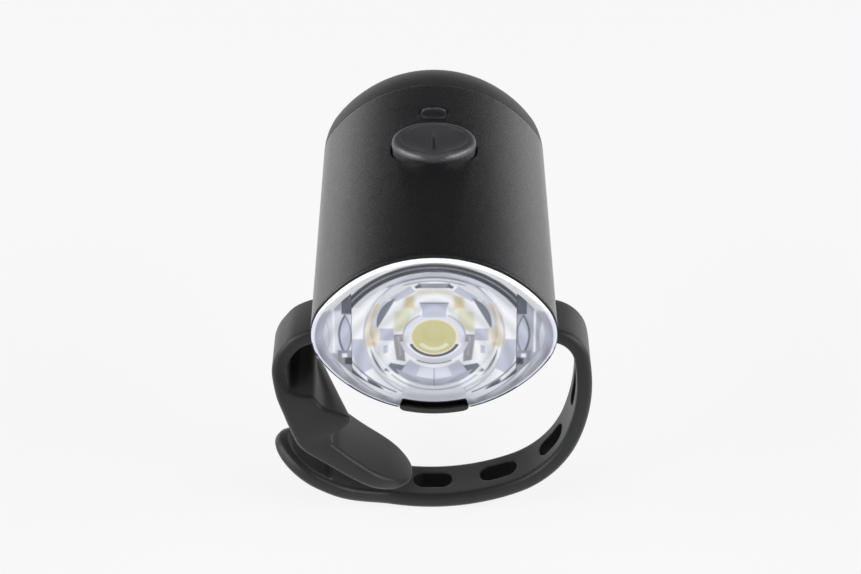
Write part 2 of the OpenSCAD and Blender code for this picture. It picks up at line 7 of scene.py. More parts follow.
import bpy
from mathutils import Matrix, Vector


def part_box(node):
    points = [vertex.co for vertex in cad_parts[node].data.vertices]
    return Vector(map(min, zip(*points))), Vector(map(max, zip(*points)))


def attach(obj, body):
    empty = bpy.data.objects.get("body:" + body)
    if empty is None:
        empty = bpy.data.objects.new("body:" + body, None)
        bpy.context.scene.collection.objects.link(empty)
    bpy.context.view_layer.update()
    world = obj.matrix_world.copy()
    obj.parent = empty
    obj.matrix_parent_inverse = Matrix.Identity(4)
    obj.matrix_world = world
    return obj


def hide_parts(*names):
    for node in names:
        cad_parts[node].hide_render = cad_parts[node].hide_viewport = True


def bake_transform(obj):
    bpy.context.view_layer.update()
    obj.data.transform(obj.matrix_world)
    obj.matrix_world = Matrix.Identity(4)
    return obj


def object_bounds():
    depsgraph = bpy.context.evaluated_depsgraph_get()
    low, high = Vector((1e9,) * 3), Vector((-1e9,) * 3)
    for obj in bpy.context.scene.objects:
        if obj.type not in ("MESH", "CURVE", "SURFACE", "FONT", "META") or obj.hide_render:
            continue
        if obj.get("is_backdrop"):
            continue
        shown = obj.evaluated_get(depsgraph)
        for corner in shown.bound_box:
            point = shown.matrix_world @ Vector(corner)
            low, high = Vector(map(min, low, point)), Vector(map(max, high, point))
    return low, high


bl_info = {
    "name": "Bike headlight",
    "version": (1, 0, 0),
    "blender": (4, 5, 0),
    "location": "View3D > Sidebar > Headlight",
    "description": "Builds the skins, lens, optic, button and rubber strap of a bike headlight",
    "category": "Add Mesh",
}

import bpy
import numpy as np
from bpy.props import FloatProperty, FloatVectorProperty, PointerProperty
from bpy.types import Operator, Panel, PropertyGroup

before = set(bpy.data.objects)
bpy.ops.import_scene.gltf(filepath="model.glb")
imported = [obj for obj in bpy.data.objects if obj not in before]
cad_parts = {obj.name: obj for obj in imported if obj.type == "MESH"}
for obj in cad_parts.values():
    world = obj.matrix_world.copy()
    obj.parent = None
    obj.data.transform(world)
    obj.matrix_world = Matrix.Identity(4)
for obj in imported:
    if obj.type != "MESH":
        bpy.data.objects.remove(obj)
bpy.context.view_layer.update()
MM = 0.001


def length(name, description, value):
    """A length property; value is in millimetres."""
    return FloatProperty(name=name, description=description, default=value * MM, unit="LENGTH", precision=5)


def tone(name, description, value):
    """A colour property; value is linear red, green and blue."""
    return FloatVectorProperty(name=name, description=description, default=value, subtype="COLOR", size=3,
                               min=0.0, max=1.0)


class HEADLIGHT_PG_head(PropertyGroup):
    width: length("Width", "Width of the head across the tips of its eye section", 34.0)
    height: length("Height", "Height of the head at its middle", 24.0)
    tip: length("Tip radius", "Radius of the two rounded tips", 7.0)
    centre: length("Centre height", "Height of the head's axis above the bar's axis", 28.1)
    lens_y: length("Lens face", "Place of the lens face along the head", -31.0)
    rim_y: length("Lens back", "Place of the back of the lens", -30.0)
    front_y: length("Housing front", "Front end of the housing tube", -29.7)
    seam_y: length("Housing rear", "Rear end of the housing tube", 29.0)
    wall: length("Wall", "Wall of the housing tube", 1.5)
    tab: length("Tab width", "Width of the dark tab under the lens", 9.7)


class HEADLIGHT_PG_button(PropertyGroup):
    place: length("Place", "Place of the button along the head", 6.38)
    radius: length("Radius", "Radius of the button", 6.2)
    crest: length("Crest", "Height of the button's rim above the head's axis", 13.2)
    dish: length("Dish", "Depth of the dished top", 0.75)
    window_place: length("Window place", "Place of the indicator window along the head", 18.18)
    window_radius: length("Window radius", "Radius of the indicator window", 2.05)


class HEADLIGHT_PG_strap(PropertyGroup):
    thickness: length("Thickness", "Thickness of the rubber band", 2.3)
    arm: length("Arm width", "Width of the rubber at its tongue and its tab", 13.4)
    root: length("Root width", "Width of the rubber at its roots beside the saddle", 10.8)
    width: length("Band width", "Width of the slotted part", 9.4)
    pitch: length("Slot pitch", "Distance from one slot to the next", 10.6)
    bar: length("Bar radius", "Radius of the bar that the saddle fits", 11.1)
    plate: length("Plate height", "Height of the swivel plate's underside", 13.1)


class HEADLIGHT_PG_finish(PropertyGroup):
    housing: tone("Housing", "Blasted and anodised housing", (0.0038, 0.0038, 0.0044))
    cap: tone("Cap", "Moulded rear cap", (0.016, 0.016, 0.017))
    rubber: tone("Rubber", "Rubber of the strap", (0.0068, 0.0071, 0.0082))
    phosphor: tone("Phosphor", "Yellow of the light source seen in the optic", (0.70, 0.64, 0.24))
    floor: tone("Floor", "Studio floor", (0.947, 0.947, 0.947))


# Sheets of quads


def grid(us, vs):
    """Flat sheet: every pair of stations (u, v), with quads that turn anticlockwise."""
    u, v = np.meshgrid(us, vs, indexing="ij")
    i, j = np.meshgrid(np.arange(len(us) - 1), np.arange(len(vs) - 1), indexing="ij")
    a = (i * len(vs) + j).ravel()
    quads = np.stack([a, a + len(vs), a + len(vs) + 1, a + 1], 1)
    return np.stack([u.ravel(), v.ravel()], 1), quads


def rounded_loop(a, b, r, nu, nv):
    """Closed loop of a rectangle with half sizes a, b and corner radius r, from its lower left corner:
    each side runs from the middle of one corner arc to the middle of the next, at even arc length."""
    sides = []
    for turn, half, out, n in ((-90, a, b, nu), (0, b, a, nv), (90, a, b, nu), (180, b, a, nv)):
        t = np.arange(n) / n
        quarter, flat = r * np.pi / 4, 2 * (half - r)
        s = t * (2 * quarter + flat)
        off = np.clip(s - quarter, 0, flat) - flat / 2
        swing = (np.clip(s, 0, quarter) - quarter + np.clip(s - quarter - flat, 0, quarter)) / r
        base = np.radians(turn)
        sides.append(np.stack([
            -np.sin(base) * off + np.cos(base) * (out - r) + r * np.cos(base + swing),
            np.cos(base) * off + np.sin(base) * (out - r) + r * np.sin(base + swing)], 1))
    return np.concatenate(sides)


def ring_cell(us, low, high, vs, loop, near, far, middle):
    """Sheet between a hole's loop and a four-sided cell: the cell runs over the stations us between the
    edges low(u) and high(u), with fractions vs on its ends. Rings lie at the distances near from the hole
    and far from the cell's edge, with even rings in between."""
    span = (vs + 1) / 2
    outer = np.concatenate([
        np.stack([us[:-1], low[:-1]], 1),
        np.stack([np.full(len(vs) - 1, us[-1]), (low[-1] + (high[-1] - low[-1]) * span)[:-1]], 1),
        np.stack([us[:0:-1], high[:0:-1]], 1),
        np.stack([np.full(len(vs) - 1, us[0]), (low[0] + (high[0] - low[0]) * span)[:0:-1]], 1)])
    reach = np.linalg.norm(outer - loop, axis=1)
    first = np.array(near)[:, None] / reach
    last = 1 - np.array(far)[:, None] / reach
    steps = np.linspace(0, 1, middle + 2)[1:-1, None]
    share = np.concatenate([first, first[-1] + (last[0] - first[-1]) * steps, last])
    points = loop + share[:, :, None] * (outer - loop)
    return points.reshape(-1, 2), ring_quads(len(share), len(loop))


def ring_quads(rings, n):
    """Quads between closed rings of n points each, anticlockwise when the rings go outwards."""
    i, k = np.meshgrid(np.arange(rings - 1), np.arange(n), indexing="ij")
    a, b = (i * n + k).ravel(), (i * n + (k + 1) % n).ravel()
    return np.stack([a, a + n, b + n, b], 1)


def join(*sheets, period=None):
    """One sheet from several, with equal points merged; u repeats after period where one is given."""
    points = np.concatenate([p for p, _ in sheets])
    shift = np.cumsum([0] + [len(p) for p, _ in sheets[:-1]])
    quads = np.concatenate([q + s for (_, q), s in zip(sheets, shift)])
    key = np.round(points, 4)
    if period:
        key[:, 0] = np.round(np.mod(points[:, 0] + 1e-5, period), 4)
    _, first, back = np.unique(key, axis=0, return_index=True, return_inverse=True)
    return points[first], back.ravel()[quads]


def shell(quads, top, bottom):
    """Closed solid from a sheet: its top points, its bottom points with the quads turned over, and a wall
    along every edge that only one quad has."""
    n = len(top)
    ahead = np.stack([quads, np.roll(quads, -1, 1)], 2).reshape(-1, 2)
    ahead = ahead[ahead[:, 0] != ahead[:, 1]]
    free = ahead[~np.isin(ahead[:, 0] * n + ahead[:, 1], ahead[:, 1] * n + ahead[:, 0])]
    wall = np.stack([free[:, 1], free[:, 0], free[:, 0] + n, free[:, 1] + n], 1)
    return np.concatenate([top, bottom]), np.concatenate([quads, quads[:, ::-1] + n, wall])


def ribbon(outer, inner, half, y, corner, turns=5):
    """Solid band carried along a path: station i has a rounded rectangle between outer[i] and inner[i] in XZ,
    half[i] to each side of y[i], with corners of at most the given radius."""
    mid, across = (outer + inner) / 2, (outer - inner) / 2
    h = np.linalg.norm(across, axis=1)
    unit = across / h[:, None]
    r = np.minimum(corner, 0.92 * np.minimum(h, half))
    a = np.linspace(0, np.pi / 2, turns)
    swing = np.concatenate([a, a + np.pi / 2, a + np.pi, a + 1.5 * np.pi])
    sign_h = np.repeat([1, -1, -1, 1], turns)
    sign_w = np.repeat([1, 1, -1, -1], turns)
    off = sign_h * (h - r)[:, None] + r[:, None] * np.cos(swing)
    side = sign_w * (half - r)[:, None] + r[:, None] * np.sin(swing)
    points = np.stack([mid[:, :1] + off * unit[:, :1], y[:, None] + side, mid[:, 1:] + off * unit[:, 1:]], 2)
    n = len(swing)
    quads = ring_quads(len(outer), n)
    last = (len(outer) - 1) * n
    return points.reshape(-1, 3), [quads, np.arange(n)[None], last + np.arange(n)[None, ::-1]]


def flow(points, steps):
    """Open smooth curve through the points (Catmull-Rom), with the given number of steps a span."""
    p = np.concatenate([2 * points[:1] - points[1:2], points, 2 * points[-1:] - points[-2:-1]])
    t = (np.arange(steps) / steps)[None, :, None]
    a, b, c, d = (p[k:len(p) - 3 + k, None] for k in range(4))
    curve = 0.5 * (2 * b + t * (c - a) + t**2 * (2 * a - 5 * b + 4 * c - d) + t**3 * (3 * b - a - 3 * c + d))
    return np.concatenate([curve.reshape(-1, points.shape[1]), points[-1:]])


def smooth(t):
    """Smooth step from 0 to 1."""
    t = np.clip(t, 0, 1)
    return t * t * (3 - 2 * t)


def eased(d, r):
    """How far a surface has fallen at a distance d from an edge that is rounded with radius r."""
    return r - np.sqrt(np.maximum(r * r - (r - np.clip(d, 0, r)) ** 2, 0))


# The eye section


class Eye:
    """Section of the head: two tip arcs and two flat arcs, tangent to each other. u is the length along the
    outline, clockwise from the top, and an angle is the direction of the outward normal."""

    def __init__(self, head):
        self.tip = head.tip / MM
        self.tip_c = head.width / MM / 2 - self.tip
        half = head.height / MM / 2
        self.big = (self.tip_c**2 + half**2 - self.tip**2) / (2 * (half - self.tip))
        self.big_c = self.big - half
        lean = np.arctan2(self.big_c, self.tip_c)
        top, tip = self.big * (np.pi / 2 - lean), 2 * self.tip * lean
        self.marks = np.cumsum([0, top, tip, 2 * top, tip, top])
        self.turns = np.array([np.pi / 2, lean, -lean, lean - np.pi, -lean - np.pi, -1.5 * np.pi])
        self.edge = np.cos(lean)
        self.length = self.marks[-1]

    def angle(self, u):
        """Angle of the normal at a length u along the outline."""
        return np.interp(np.mod(u, self.length), self.marks, self.turns)

    def at(self, angle, inset):
        """X and Z of the outline drawn in by inset, for the normal's angle."""
        c, s = np.cos(angle), np.sin(angle)
        side = np.where(c > self.edge, 1, np.where(c < -self.edge, -1, 0))
        r = np.where(side == 0, self.big, self.tip) - inset
        z = np.where(side == 0, -np.sign(s) * self.big_c, 0)
        return side * self.tip_c + r * c, z + r * s


# Painted light of the clear parts: the reflections, highlights and shade that they show

# Tints of the painted reflections, highlights and shade of the clear parts; yellow is the phosphor's own
# colour as the optic shows it
TINTS = {name: np.array(tint) for name, tint in {
    "white": (0.95, 0.95, 0.96),
    "pale": (0.76, 0.77, 0.83),
    "lavender": (0.57, 0.59, 0.69),
    "silver": (0.45, 0.46, 0.52),
    "grey": (0.30, 0.31, 0.36),
    "taupe": (0.36, 0.33, 0.35),
    "steel": (0.17, 0.19, 0.23),
    "slate": (0.085, 0.10, 0.135),
    "ink": (0.03, 0.033, 0.045),
    "yellow": (0.62, 0.57, 0.27),
    "straw": (0.76, 0.75, 0.55),
    "gold": (0.74, 0.64, 0.40),
    "cream": (0.92, 0.82, 0.66),
}.items()}
# Warm tints: painted reflections of the yellow phosphor
WARM = ("gold", "straw", "cream")
# Paint runs slanting into the clear parts: a stroke sinks by this share of the depth behind the lens face
SLANT = 0.51


def mask(kind, n, x, z, blur):
    """Share of a stroke at each point, from 0 to 1, with edges as soft as blur. Its sizes n by kind:
    ring and oval: two radii and two angles from the top, with the oval lower than wide;
    box: two distances to the side and two heights;
    poly: corners, anticlockwise;
    moon: inside one circle and outside another, as radius and centre height, and above a height;
    under: the same upside down, beyond a distance to the side;
    leaf: radius, half thickness, angle and half sweep;
    pod: place, half width, height and half height."""
    inside = lambda d, soft=blur: smooth(d / soft + 0.5)
    stretch = 1.17 if kind == "oval" else 1
    r, a = np.hypot(x, stretch * z), np.degrees(np.arctan2(x, z))
    if kind in ("ring", "oval"):
        return inside(r - n[0]) * inside(n[1] - r) * inside(a - n[2], 2) * inside(n[3] - a, 2)
    if kind == "box":
        return inside(x - n[0]) * inside(n[1] - x) * inside(z - n[2]) * inside(n[3] - z)
    if kind == "poly":
        corner = np.array(n).reshape(-1, 2)
        along = np.roll(corner, -1, 0) - corner
        along = along / np.linalg.norm(along, axis=1)[:, None]
        away = [t[0] * (z - c[1]) - t[1] * (x - c[0]) for c, t in zip(corner, along)]
        return inside(np.min(away, axis=0))
    if kind == "under":
        outer, inner = np.hypot(x, z + n[1]), np.hypot(x, z + n[3])
        return inside(n[0] - outer) * inside(inner - n[2]) * inside(x - n[4]) * (z < 0)
    if kind == "moon":
        outer, inner = np.hypot(x, z - n[1]), np.hypot(x, z - n[3])
        return inside(n[0] - outer) * inside(inner - n[2]) * inside(z - n[4])
    if kind == "leaf":
        return inside(n[1] * (1 - ((a - n[2]) / n[3]) ** 2) - np.abs(r - n[0]))
    return inside(n[1] * (1 - ((z - n[2]) / n[3]) ** 2) - np.abs(x - n[0]))


def paint(strokes, ground, x, z):
    """Painted light of each point of a clear part, the reflections, highlights and shade that it shows: the
    ground, then each stroke over it, with soft edges where it is warm and crisp ones elsewhere, then faint
    round streaks of painted shade away from the middle."""
    crisp, soft, faint = 0.2, 0.8, 0.2
    painted_light = np.tile(TINTS[ground], (len(x), 1))
    for tint, kind, *sizes in strokes:
        blur = soft if tint in WARM and kind != "oval" else crisp
        share = mask(kind, sizes, np.abs(x), z, blur)[:, None]
        painted_light = painted_light * (1 - share) + share * TINTS[tint]
    r = np.hypot(x, z)
    streak = 0.5 + 0.5 * np.sin(2.3 * r + 2.6 * np.sin(3 * np.arctan2(z, np.abs(x))) + 0.9 * z)
    return painted_light * (1 - faint * streak * smooth((r - 3) / 1.5))[:, None]


# Meshes and finishes

MADE = {}


def put(name, points, faces, finishes, body=None, nodes=(), sharp=40, zones=None, painted_light=None):
    """Makes a piece from points in millimetres, gives it its finishes and lets it ride on a body. The faces
    are one array or a list of them, and a quad that ends where it starts is a triangle."""
    mesh = bpy.data.meshes.new(name)
    rows = []
    for block in faces if isinstance(faces, list) else [faces]:
        flat = block[:, 0] == block[:, -1]
        rows += block[~flat].tolist() + block[flat][:, :-1].tolist()
    mesh.from_pydata(np.asarray(points) * MM, [], rows)
    if painted_light is not None:
        layer = mesh.color_attributes.new("tint", "FLOAT_COLOR", "POINT")
        layer.data.foreach_set("color", np.c_[painted_light, np.ones(len(painted_light))].astype(np.float32).ravel())
    for finish in finishes:
        mesh.materials.append(MADE[finish])
    if zones is not None:
        mesh.polygons.foreach_set("material_index", np.asarray(zones, np.int32))
    mesh.shade_smooth()
    mesh.set_sharp_from_angle(angle=np.radians(sharp))
    mesh.update()
    obj = bpy.data.objects.new(name, mesh)
    bpy.context.collection.objects.link(obj)
    if body:
        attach(obj, body)
    if nodes:
        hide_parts(*nodes)
    return obj


def material(name):
    """Starts a material, keeps it by its name and gives its nodes and links."""
    mat = MADE[name] = bpy.data.materials.new(name)
    mat.use_nodes = True
    return mat.node_tree.nodes, mat.node_tree.links


def reckon(nodes, operation, number=None):
    """Math node, with its second number where that is fixed."""
    node = nodes.new("ShaderNodeMath")
    node.operation = operation
    if number is not None:
        node.inputs[1].default_value = number
    return node


def finish(name, colour, rough, grain, bump=0.0, vary=0.12, spread=0.08, metal=0.0, shine=0.5, coat=0.0,
           sheen=0.0, tinted=False):
    """Surface finish: noise of the given grain (per metre) varies colour, roughness and relief. A tinted one
    takes its colour from the points' tint, the painted light of the clear parts, and is darkened towards
    the given colour by the noise."""
    nodes, links = material(name)
    shader = nodes["Principled BSDF"]
    shader.inputs["Metallic"].default_value = metal
    shader.inputs["Specular IOR Level"].default_value = shine
    shader.inputs["Coat Weight"].default_value = coat
    shader.inputs["Coat Roughness"].default_value = 0.08
    shader.inputs["Sheen Weight"].default_value = sheen
    shader.inputs["Sheen Roughness"].default_value = 0.5
    place = nodes.new("ShaderNodeTexCoord")
    noise = nodes.new("ShaderNodeTexNoise")
    noise.inputs["Scale"].default_value = grain
    noise.inputs["Detail"].default_value = 3.0
    links.new(place.outputs["Object"], noise.inputs["Vector"])
    mix = nodes.new("ShaderNodeMix")
    mix.data_type = "RGBA"
    if tinted:
        tint = nodes.new("ShaderNodeAttribute")
        tint.attribute_name = "tint"
        mix.blend_type = "MULTIPLY"
        level = nodes.new("ShaderNodeMapRange")
        level.inputs["To Min"].default_value = 0.0
        level.inputs["To Max"].default_value = vary
        links.new(noise.outputs["Fac"], level.inputs["Value"])
        links.new(level.outputs["Result"], mix.inputs["Factor"])
        links.new(tint.outputs["Color"], mix.inputs["A"])
        mix.inputs["B"].default_value = (*colour, 1)
    else:
        links.new(noise.outputs["Fac"], mix.inputs["Factor"])
        mix.inputs["A"].default_value = (*(c * (1 - vary) for c in colour), 1)
        mix.inputs["B"].default_value = (*(min(c * (1 + vary), 1) for c in colour), 1)
    links.new(mix.outputs["Result"], shader.inputs["Base Color"])
    wear = nodes.new("ShaderNodeMapRange")
    wear.inputs["From Min"].default_value = 0.3
    wear.inputs["From Max"].default_value = 0.7
    wear.inputs["To Min"].default_value = max(rough - spread, 0.02)
    wear.inputs["To Max"].default_value = rough + spread
    links.new(noise.outputs["Fac"], wear.inputs["Value"])
    links.new(wear.outputs["Result"], shader.inputs["Roughness"])
    if bump:
        relief = nodes.new("ShaderNodeBump")
        relief.inputs["Strength"].default_value = bump
        relief.inputs["Distance"].default_value = 0.2 * MM
        links.new(noise.outputs["Fac"], relief.inputs["Height"])
        links.new(relief.outputs["Normal"], shader.inputs["Normal"])


def clear(name, tint, rough):
    """Thin clear moulding: lets light through, and mirrors alike from both sides, by a share that grows from
    3 % with the fifth power of the slant."""
    nodes, links = material(name)
    nodes.remove(nodes["Principled BSDF"])
    through = nodes.new("ShaderNodeBsdfTransparent")
    gloss = nodes.new("ShaderNodeBsdfGlossy")
    through.inputs["Color"].default_value = (*tint, 1)
    gloss.inputs["Roughness"].default_value = rough
    facing = nodes.new("ShaderNodeLayerWeight")
    power = reckon(nodes, "POWER", 5.0)
    share = nodes.new("ShaderNodeMapRange")
    mix = nodes.new("ShaderNodeMixShader")
    share.inputs["To Min"].default_value = 0.03
    links.new(facing.outputs["Facing"], power.inputs[0])
    links.new(power.outputs[0], share.inputs["Value"])
    links.new(share.outputs["Result"], mix.inputs["Fac"])
    links.new(through.outputs["BSDF"], mix.inputs[1])
    links.new(gloss.outputs["BSDF"], mix.inputs[2])
    links.new(mix.outputs["Shader"], nodes["Material Output"].inputs["Surface"])


class HEADLIGHT_OT_finishes(Operator):
    """Make every finish and give it to the solids that keep their own shape"""

    bl_idname = "headlight.finishes"
    bl_label = "Finishes"

    CARRIED = {
        "seal_rubber": ("lens_gasket", "button_seal", "rear_seal"),
        "white_plastic": ("optic_holder",),
        "board_metal": ("led_board", "heat_sink"),
        "phosphor": ("led_phosphor",),
        "ceramic": ("led_package", "indicator_led"),
        "steel": ("led_board_screws", "chassis_screws", "rear_cap_screws", "pivot_screw", "pivot_nut",
                  "usb_socket"),
        "dark_plastic": ("chassis", "switch_carrier", "tact_switch", "swivel_base", "swivel_plate",
                         "board_components"),
        "cell_wrap": ("battery",),
        "wire": ("battery_leads", "led_leads"),
        "circuit_board": ("main_board",),
        "plunger": ("switch_plunger",),
        "brass": ("friction_washer",),
        "cap_black": ("rear_cap",),
    }

    def execute(self, context):
        look = context.scene.headlight_finish
        finish("anodised_black", look.housing, 0.25, 9000, bump=0.16, vary=0.35, spread=0.05, shine=0.55)
        finish("cap_black", look.cap, 0.42, 7000, bump=0.1, vary=0.2, shine=0.25)
        finish("button_black", (0.03, 0.03, 0.033), 0.44, 3000, bump=0.04, shine=1.0)
        finish("strap_rubber", look.rubber, 0.48, 5000, bump=0.01, spread=0.04, shine=0.35, sheen=0.26)
        # Darker, matt rubber for the slots' walls: painted shade inside the slots
        finish("slot_rubber_painted_shade", (0.0025, 0.0025, 0.003), 0.7, 5000, bump=0.01, shine=0.12)
        finish("cover_rubber", (0.016, 0.016, 0.017), 0.55, 2500, bump=0.1, shine=0.35)
        finish("seal_rubber", (0.012, 0.012, 0.012), 0.6, 2500, bump=0.1)
        finish("window_smoke", (0.012, 0.012, 0.014), 0.42, 1500, shine=0.3)
        finish("white_plastic", (0.80, 0.80, 0.78), 0.4, 2000, bump=0.03, vary=0.03)
        finish("board_metal", (0.60, 0.61, 0.60), 0.35, 2500, metal=0.8, bump=0.05)
        finish("phosphor", look.phosphor, 0.5, 5000, bump=0.05)
        finish("ceramic", (0.78, 0.75, 0.66), 0.45, 3000, bump=0.03)
        finish("steel", (0.58, 0.58, 0.60), 0.28, 2500, metal=1.0, bump=0.04)
        finish("dark_plastic", (0.030, 0.031, 0.034), 0.48, 3000, bump=0.1)
        finish("cell_wrap", (0.05, 0.12, 0.30), 0.35, 600, vary=0.05)
        finish("wire", (0.42, 0.04, 0.03), 0.4, 2500, bump=0.03)
        finish("circuit_board", (0.02, 0.16, 0.06), 0.4, 2500, bump=0.05)
        finish("plunger", (0.62, 0.52, 0.34), 0.45, 2500, bump=0.03)
        finish("brass", (0.60, 0.42, 0.15), 0.3, 2500, metal=1.0, bump=0.05)
        # Finishes with painted light: the lens's edge and back take painted highlights, reflections and shade
        # from their tint, the lens outline is painted dark shade, and the optic takes painted reflections
        finish("lens_edge_painted_light", (0.93, 0.93, 0.95), 0.2, 400, vary=0.05, spread=0.03, coat=0.5, tinted=True)
        finish("lens_painted_outline", (0.02, 0.02, 0.024), 0.6, 2500, shine=0.05)
        finish("optic_facets", (0.90, 0.90, 0.95), 0.12, 350, vary=0.1, spread=0.05, shine=0.3, tinted=True)
        clear("clear", (0.975, 0.98, 0.99), 0.03)
        for name, carried in self.CARRIED.items():
            for node in carried:
                self.dress(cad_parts[node], MADE[name])
        return {"FINISHED"}

    @staticmethod
    def dress(obj, mat):
        """Gives a solid its finish and shades its rounds smooth: merged points, split at sharp edges."""
        obj.data.materials.clear()
        obj.data.materials.append(mat)
        obj.data.polygons.foreach_set("use_smooth", np.ones(len(obj.data.polygons), bool))
        weld = obj.modifiers.new("merge", "WELD")
        weld.merge_threshold = 0.025 * MM
        split = obj.modifiers.new("edges", "EDGE_SPLIT")
        split.split_angle = np.radians(32)


class HEADLIGHT_OT_housing(Operator):
    """Make the anodised housing tube with its two holes, and the dark tab under the lens"""

    bl_idname = "headlight.housing"
    bl_label = "Housing"

    def execute(self, context):
        head = context.scene.headlight_head
        self.tube(head, context.scene.headlight_button)
        self.tab(head)
        return {"FINISHED"}

    @staticmethod
    def tube(head, knob):
        """Tube with eased edges: a sheet round the section, with a cell of rings about the button's hole and
        one about the window's, given its wall inwards."""
        eye = Eye(head)
        front, rear = head.front_y / MM, head.seam_y / MM
        press, window = knob.place / MM, knob.window_place / MM
        hole, pane = knob.radius / MM + 0.25, knob.window_radius / MM + 0.1
        near, far = (0, 0.08, 0.2, 0.4), (0,)
        # Half width of the two cells, the start of the first, where they meet, and the end of the second
        half, first, middle, last = 9.2, press - 7.8, press + 7.8, window + 4.0
        across = 24
        us = np.linspace(-half, half, across + 1)
        level = np.ones(across + 1)
        cells, rows = [], []
        for low, high, at, radius, n in ((first, middle, press, hole, 24), (middle, last, window, pane, 12)):
            loop = rounded_loop(radius, radius, radius, across, n) + [0, at]
            vs = np.linspace(-1, 1, n + 1)
            cells.append(ring_cell(us, low * level, high * level, vs, loop, near, far, 5))
            rows.append(np.linspace(low, high, n + 1)[1:])
        ends = np.array([0, 0.06, 0.15, 0.3])
        before = np.concatenate([front + ends, np.linspace(front + 1.2, first, 16)])
        after = np.concatenate([np.linspace(last, rear - 1.2, 6), (rear - ends)[::-1]])
        around = np.linspace(half, eye.length - half, 97)
        ys = np.concatenate([before, *rows, after[1:]])
        plan, quads = join(*cells, grid(us, before), grid(us, after), grid(around, ys), period=eye.length)
        u, y = plan.T
        wide = np.mod(u + half, eye.length) - half
        edge = np.minimum.reduce([y - front, rear - y, np.hypot(wide, y - press) - hole,
                                  np.hypot(wide, y - window) - pane])
        turn = eye.angle(u)
        skins = []
        for inset in (eased(edge, 0.2), head.wall / MM - eased(edge, 0.15)):
            x, z = eye.at(turn, inset)
            skins.append(np.stack([x, y, z + head.centre / MM], 1))
        points, faces = shell(quads, *skins)
        put("housing_skin", points, faces, ["anodised_black"], "head", ["housing"],
            sharp=50)

    @staticmethod
    def tab(head):
        """Dark tab under the lens: a ribbon along the section's lower arc that thins towards its two ends."""
        eye = Eye(head)
        n, reach, end = 33, head.tab / MM / 2, 0.9
        run = np.sin(np.linspace(-1, 1, n) * np.pi / 2)
        turn = np.arcsin(reach / eye.big) * run - np.pi / 2
        thin = 0.45 * eased(reach * (1 - np.abs(run)), end) / end
        outer, inner = (np.stack(eye.at(turn, inset), 1) + [0, head.centre / MM]
                        for inset in (thin - 0.2, 0.85 - thin))
        half, mid = np.full(n, 0.55), np.full(n, head.lens_y / MM + 0.62)
        points, faces = ribbon(outer, inner, half, mid, 0.25)
        put("lens_tab", points, faces, ["anodised_black"], "head")


class HEADLIGHT_OT_lens(Operator):
    """Make the clear front lens: a plate with a rounded edge and a notch for the tab"""

    bl_idname = "headlight.lens"
    bl_label = "Front lens"

    # Painted reflections and shade of the flat back, which shows round the optic
    STROKES = (
        ("pale", "box", -1, 20, -13, 3.5), ("ink", "moon", 15.5, -4.28, 14.1, -4.15, 4.0),
        ("silver", "under", 15.9, -4.2, 15.6, -4.2, 5.6), ("grey", "under", 15.2, -4.2, 15.05, -4.2, 5.6),
        ("lavender", "box", 13.5, 20, -4, 4),
    )

    def execute(self, context):
        head = context.scene.headlight_head
        eye = Eye(head)
        face, back = head.lens_y / MM, head.rim_y / MM
        # Stations along the outline, close together about the notch at its lowest point
        lowest, close, wide = eye.marks[1] + eye.marks[2], 5.6, 5.7
        u = np.concatenate([np.linspace(lowest - close, lowest + close, 57),
                            np.linspace(lowest + wide, lowest + eye.length - wide, 141)])
        turn = eye.angle(u)
        n = len(turn)
        # Profile as inset and place: flat back, seam, rounded edge, flat face
        flat_back, flat_face = [1.75, 1.6, 1.45, 1.3, 1.15, 1.0, 0.9, 0.1], [0.84, 1.0, 1.6]
        seam, clear_rings = len(flat_back), 4
        a, r = np.linspace(0, np.pi / 2, 9), 0.8
        inset = np.concatenate([flat_back, [0], r * (1 - np.cos(a)), flat_face])
        place = np.concatenate([np.full(seam, back), [back - 0.06], face + r * (1 - np.sin(a)),
                                np.full(len(flat_face), face)])
        notch_deep, notch_half = 1.35, 5.0
        beside = np.abs(eye.at(turn, 0)[0])
        notch = notch_deep * smooth((notch_half - beside) / 0.3) * (np.sin(turn) < 0)
        x, z = eye.at(turn[None], inset[:, None] + notch[None])
        deep = np.repeat(place[:, None], n, 1)
        painted_light = paint(self.STROKES, "white", x.ravel(), (z + SLANT * (deep - face)).ravel())
        # The rounded edge has a painted highlight, white above and less so towards the tips; elsewhere it is
        # lavender, darkened by painted shade in the notch; and it has a painted dark outline, painted shade
        # that is widest below
        up, edge = np.sin(turn)[None], inset[seam:, None]
        white_wide = 0.3 + 0.6 * smooth((up - 0.5) / 0.37)
        painted_outline_wide = 0.1 + 0.36 * np.clip(-up, 0, 1)
        # Shares of the painted highlight and of the painted dark outline
        high = smooth((z[seam:] - 1.5) / 4) * smooth((white_wide - edge) / 0.1)
        painted_outline = smooth((painted_outline_wide - edge) / 0.06)
        painted_shade = TINTS["lavender"] * (1 - 0.25 * smooth(notch / 0.6))[None, :, None]
        tint = TINTS["white"] * high[:, :, None] + painted_shade * (1 - high[:, :, None])
        tint = tint * (1 - painted_outline[:, :, None]) + TINTS["ink"] * painted_outline[:, :, None]
        painted_light[seam * n:] = tint.reshape(-1, 3)
        points = np.stack([x, deep, z + head.centre / MM], 2).reshape(-1, 3)
        last = (len(inset) - 1) * n
        faces = [ring_quads(len(inset), n), np.arange(n)[None], last + np.arange(n)[None, ::-1]]
        zones = np.repeat([1] * (len(inset) - 1 - clear_rings) + [0] * clear_rings, n)
        # Faces of the painted dark outline take the dark outline finish
        zones[seam * n:][painted_outline[:-1].ravel() > 0.5] = 2
        put("lens_shell", points, faces, ["clear", "lens_edge_painted_light", "lens_painted_outline"], "head", ["front_lens"],
            zones=np.concatenate([zones, [0, 0]]), painted_light=painted_light)
        return {"FINISHED"}


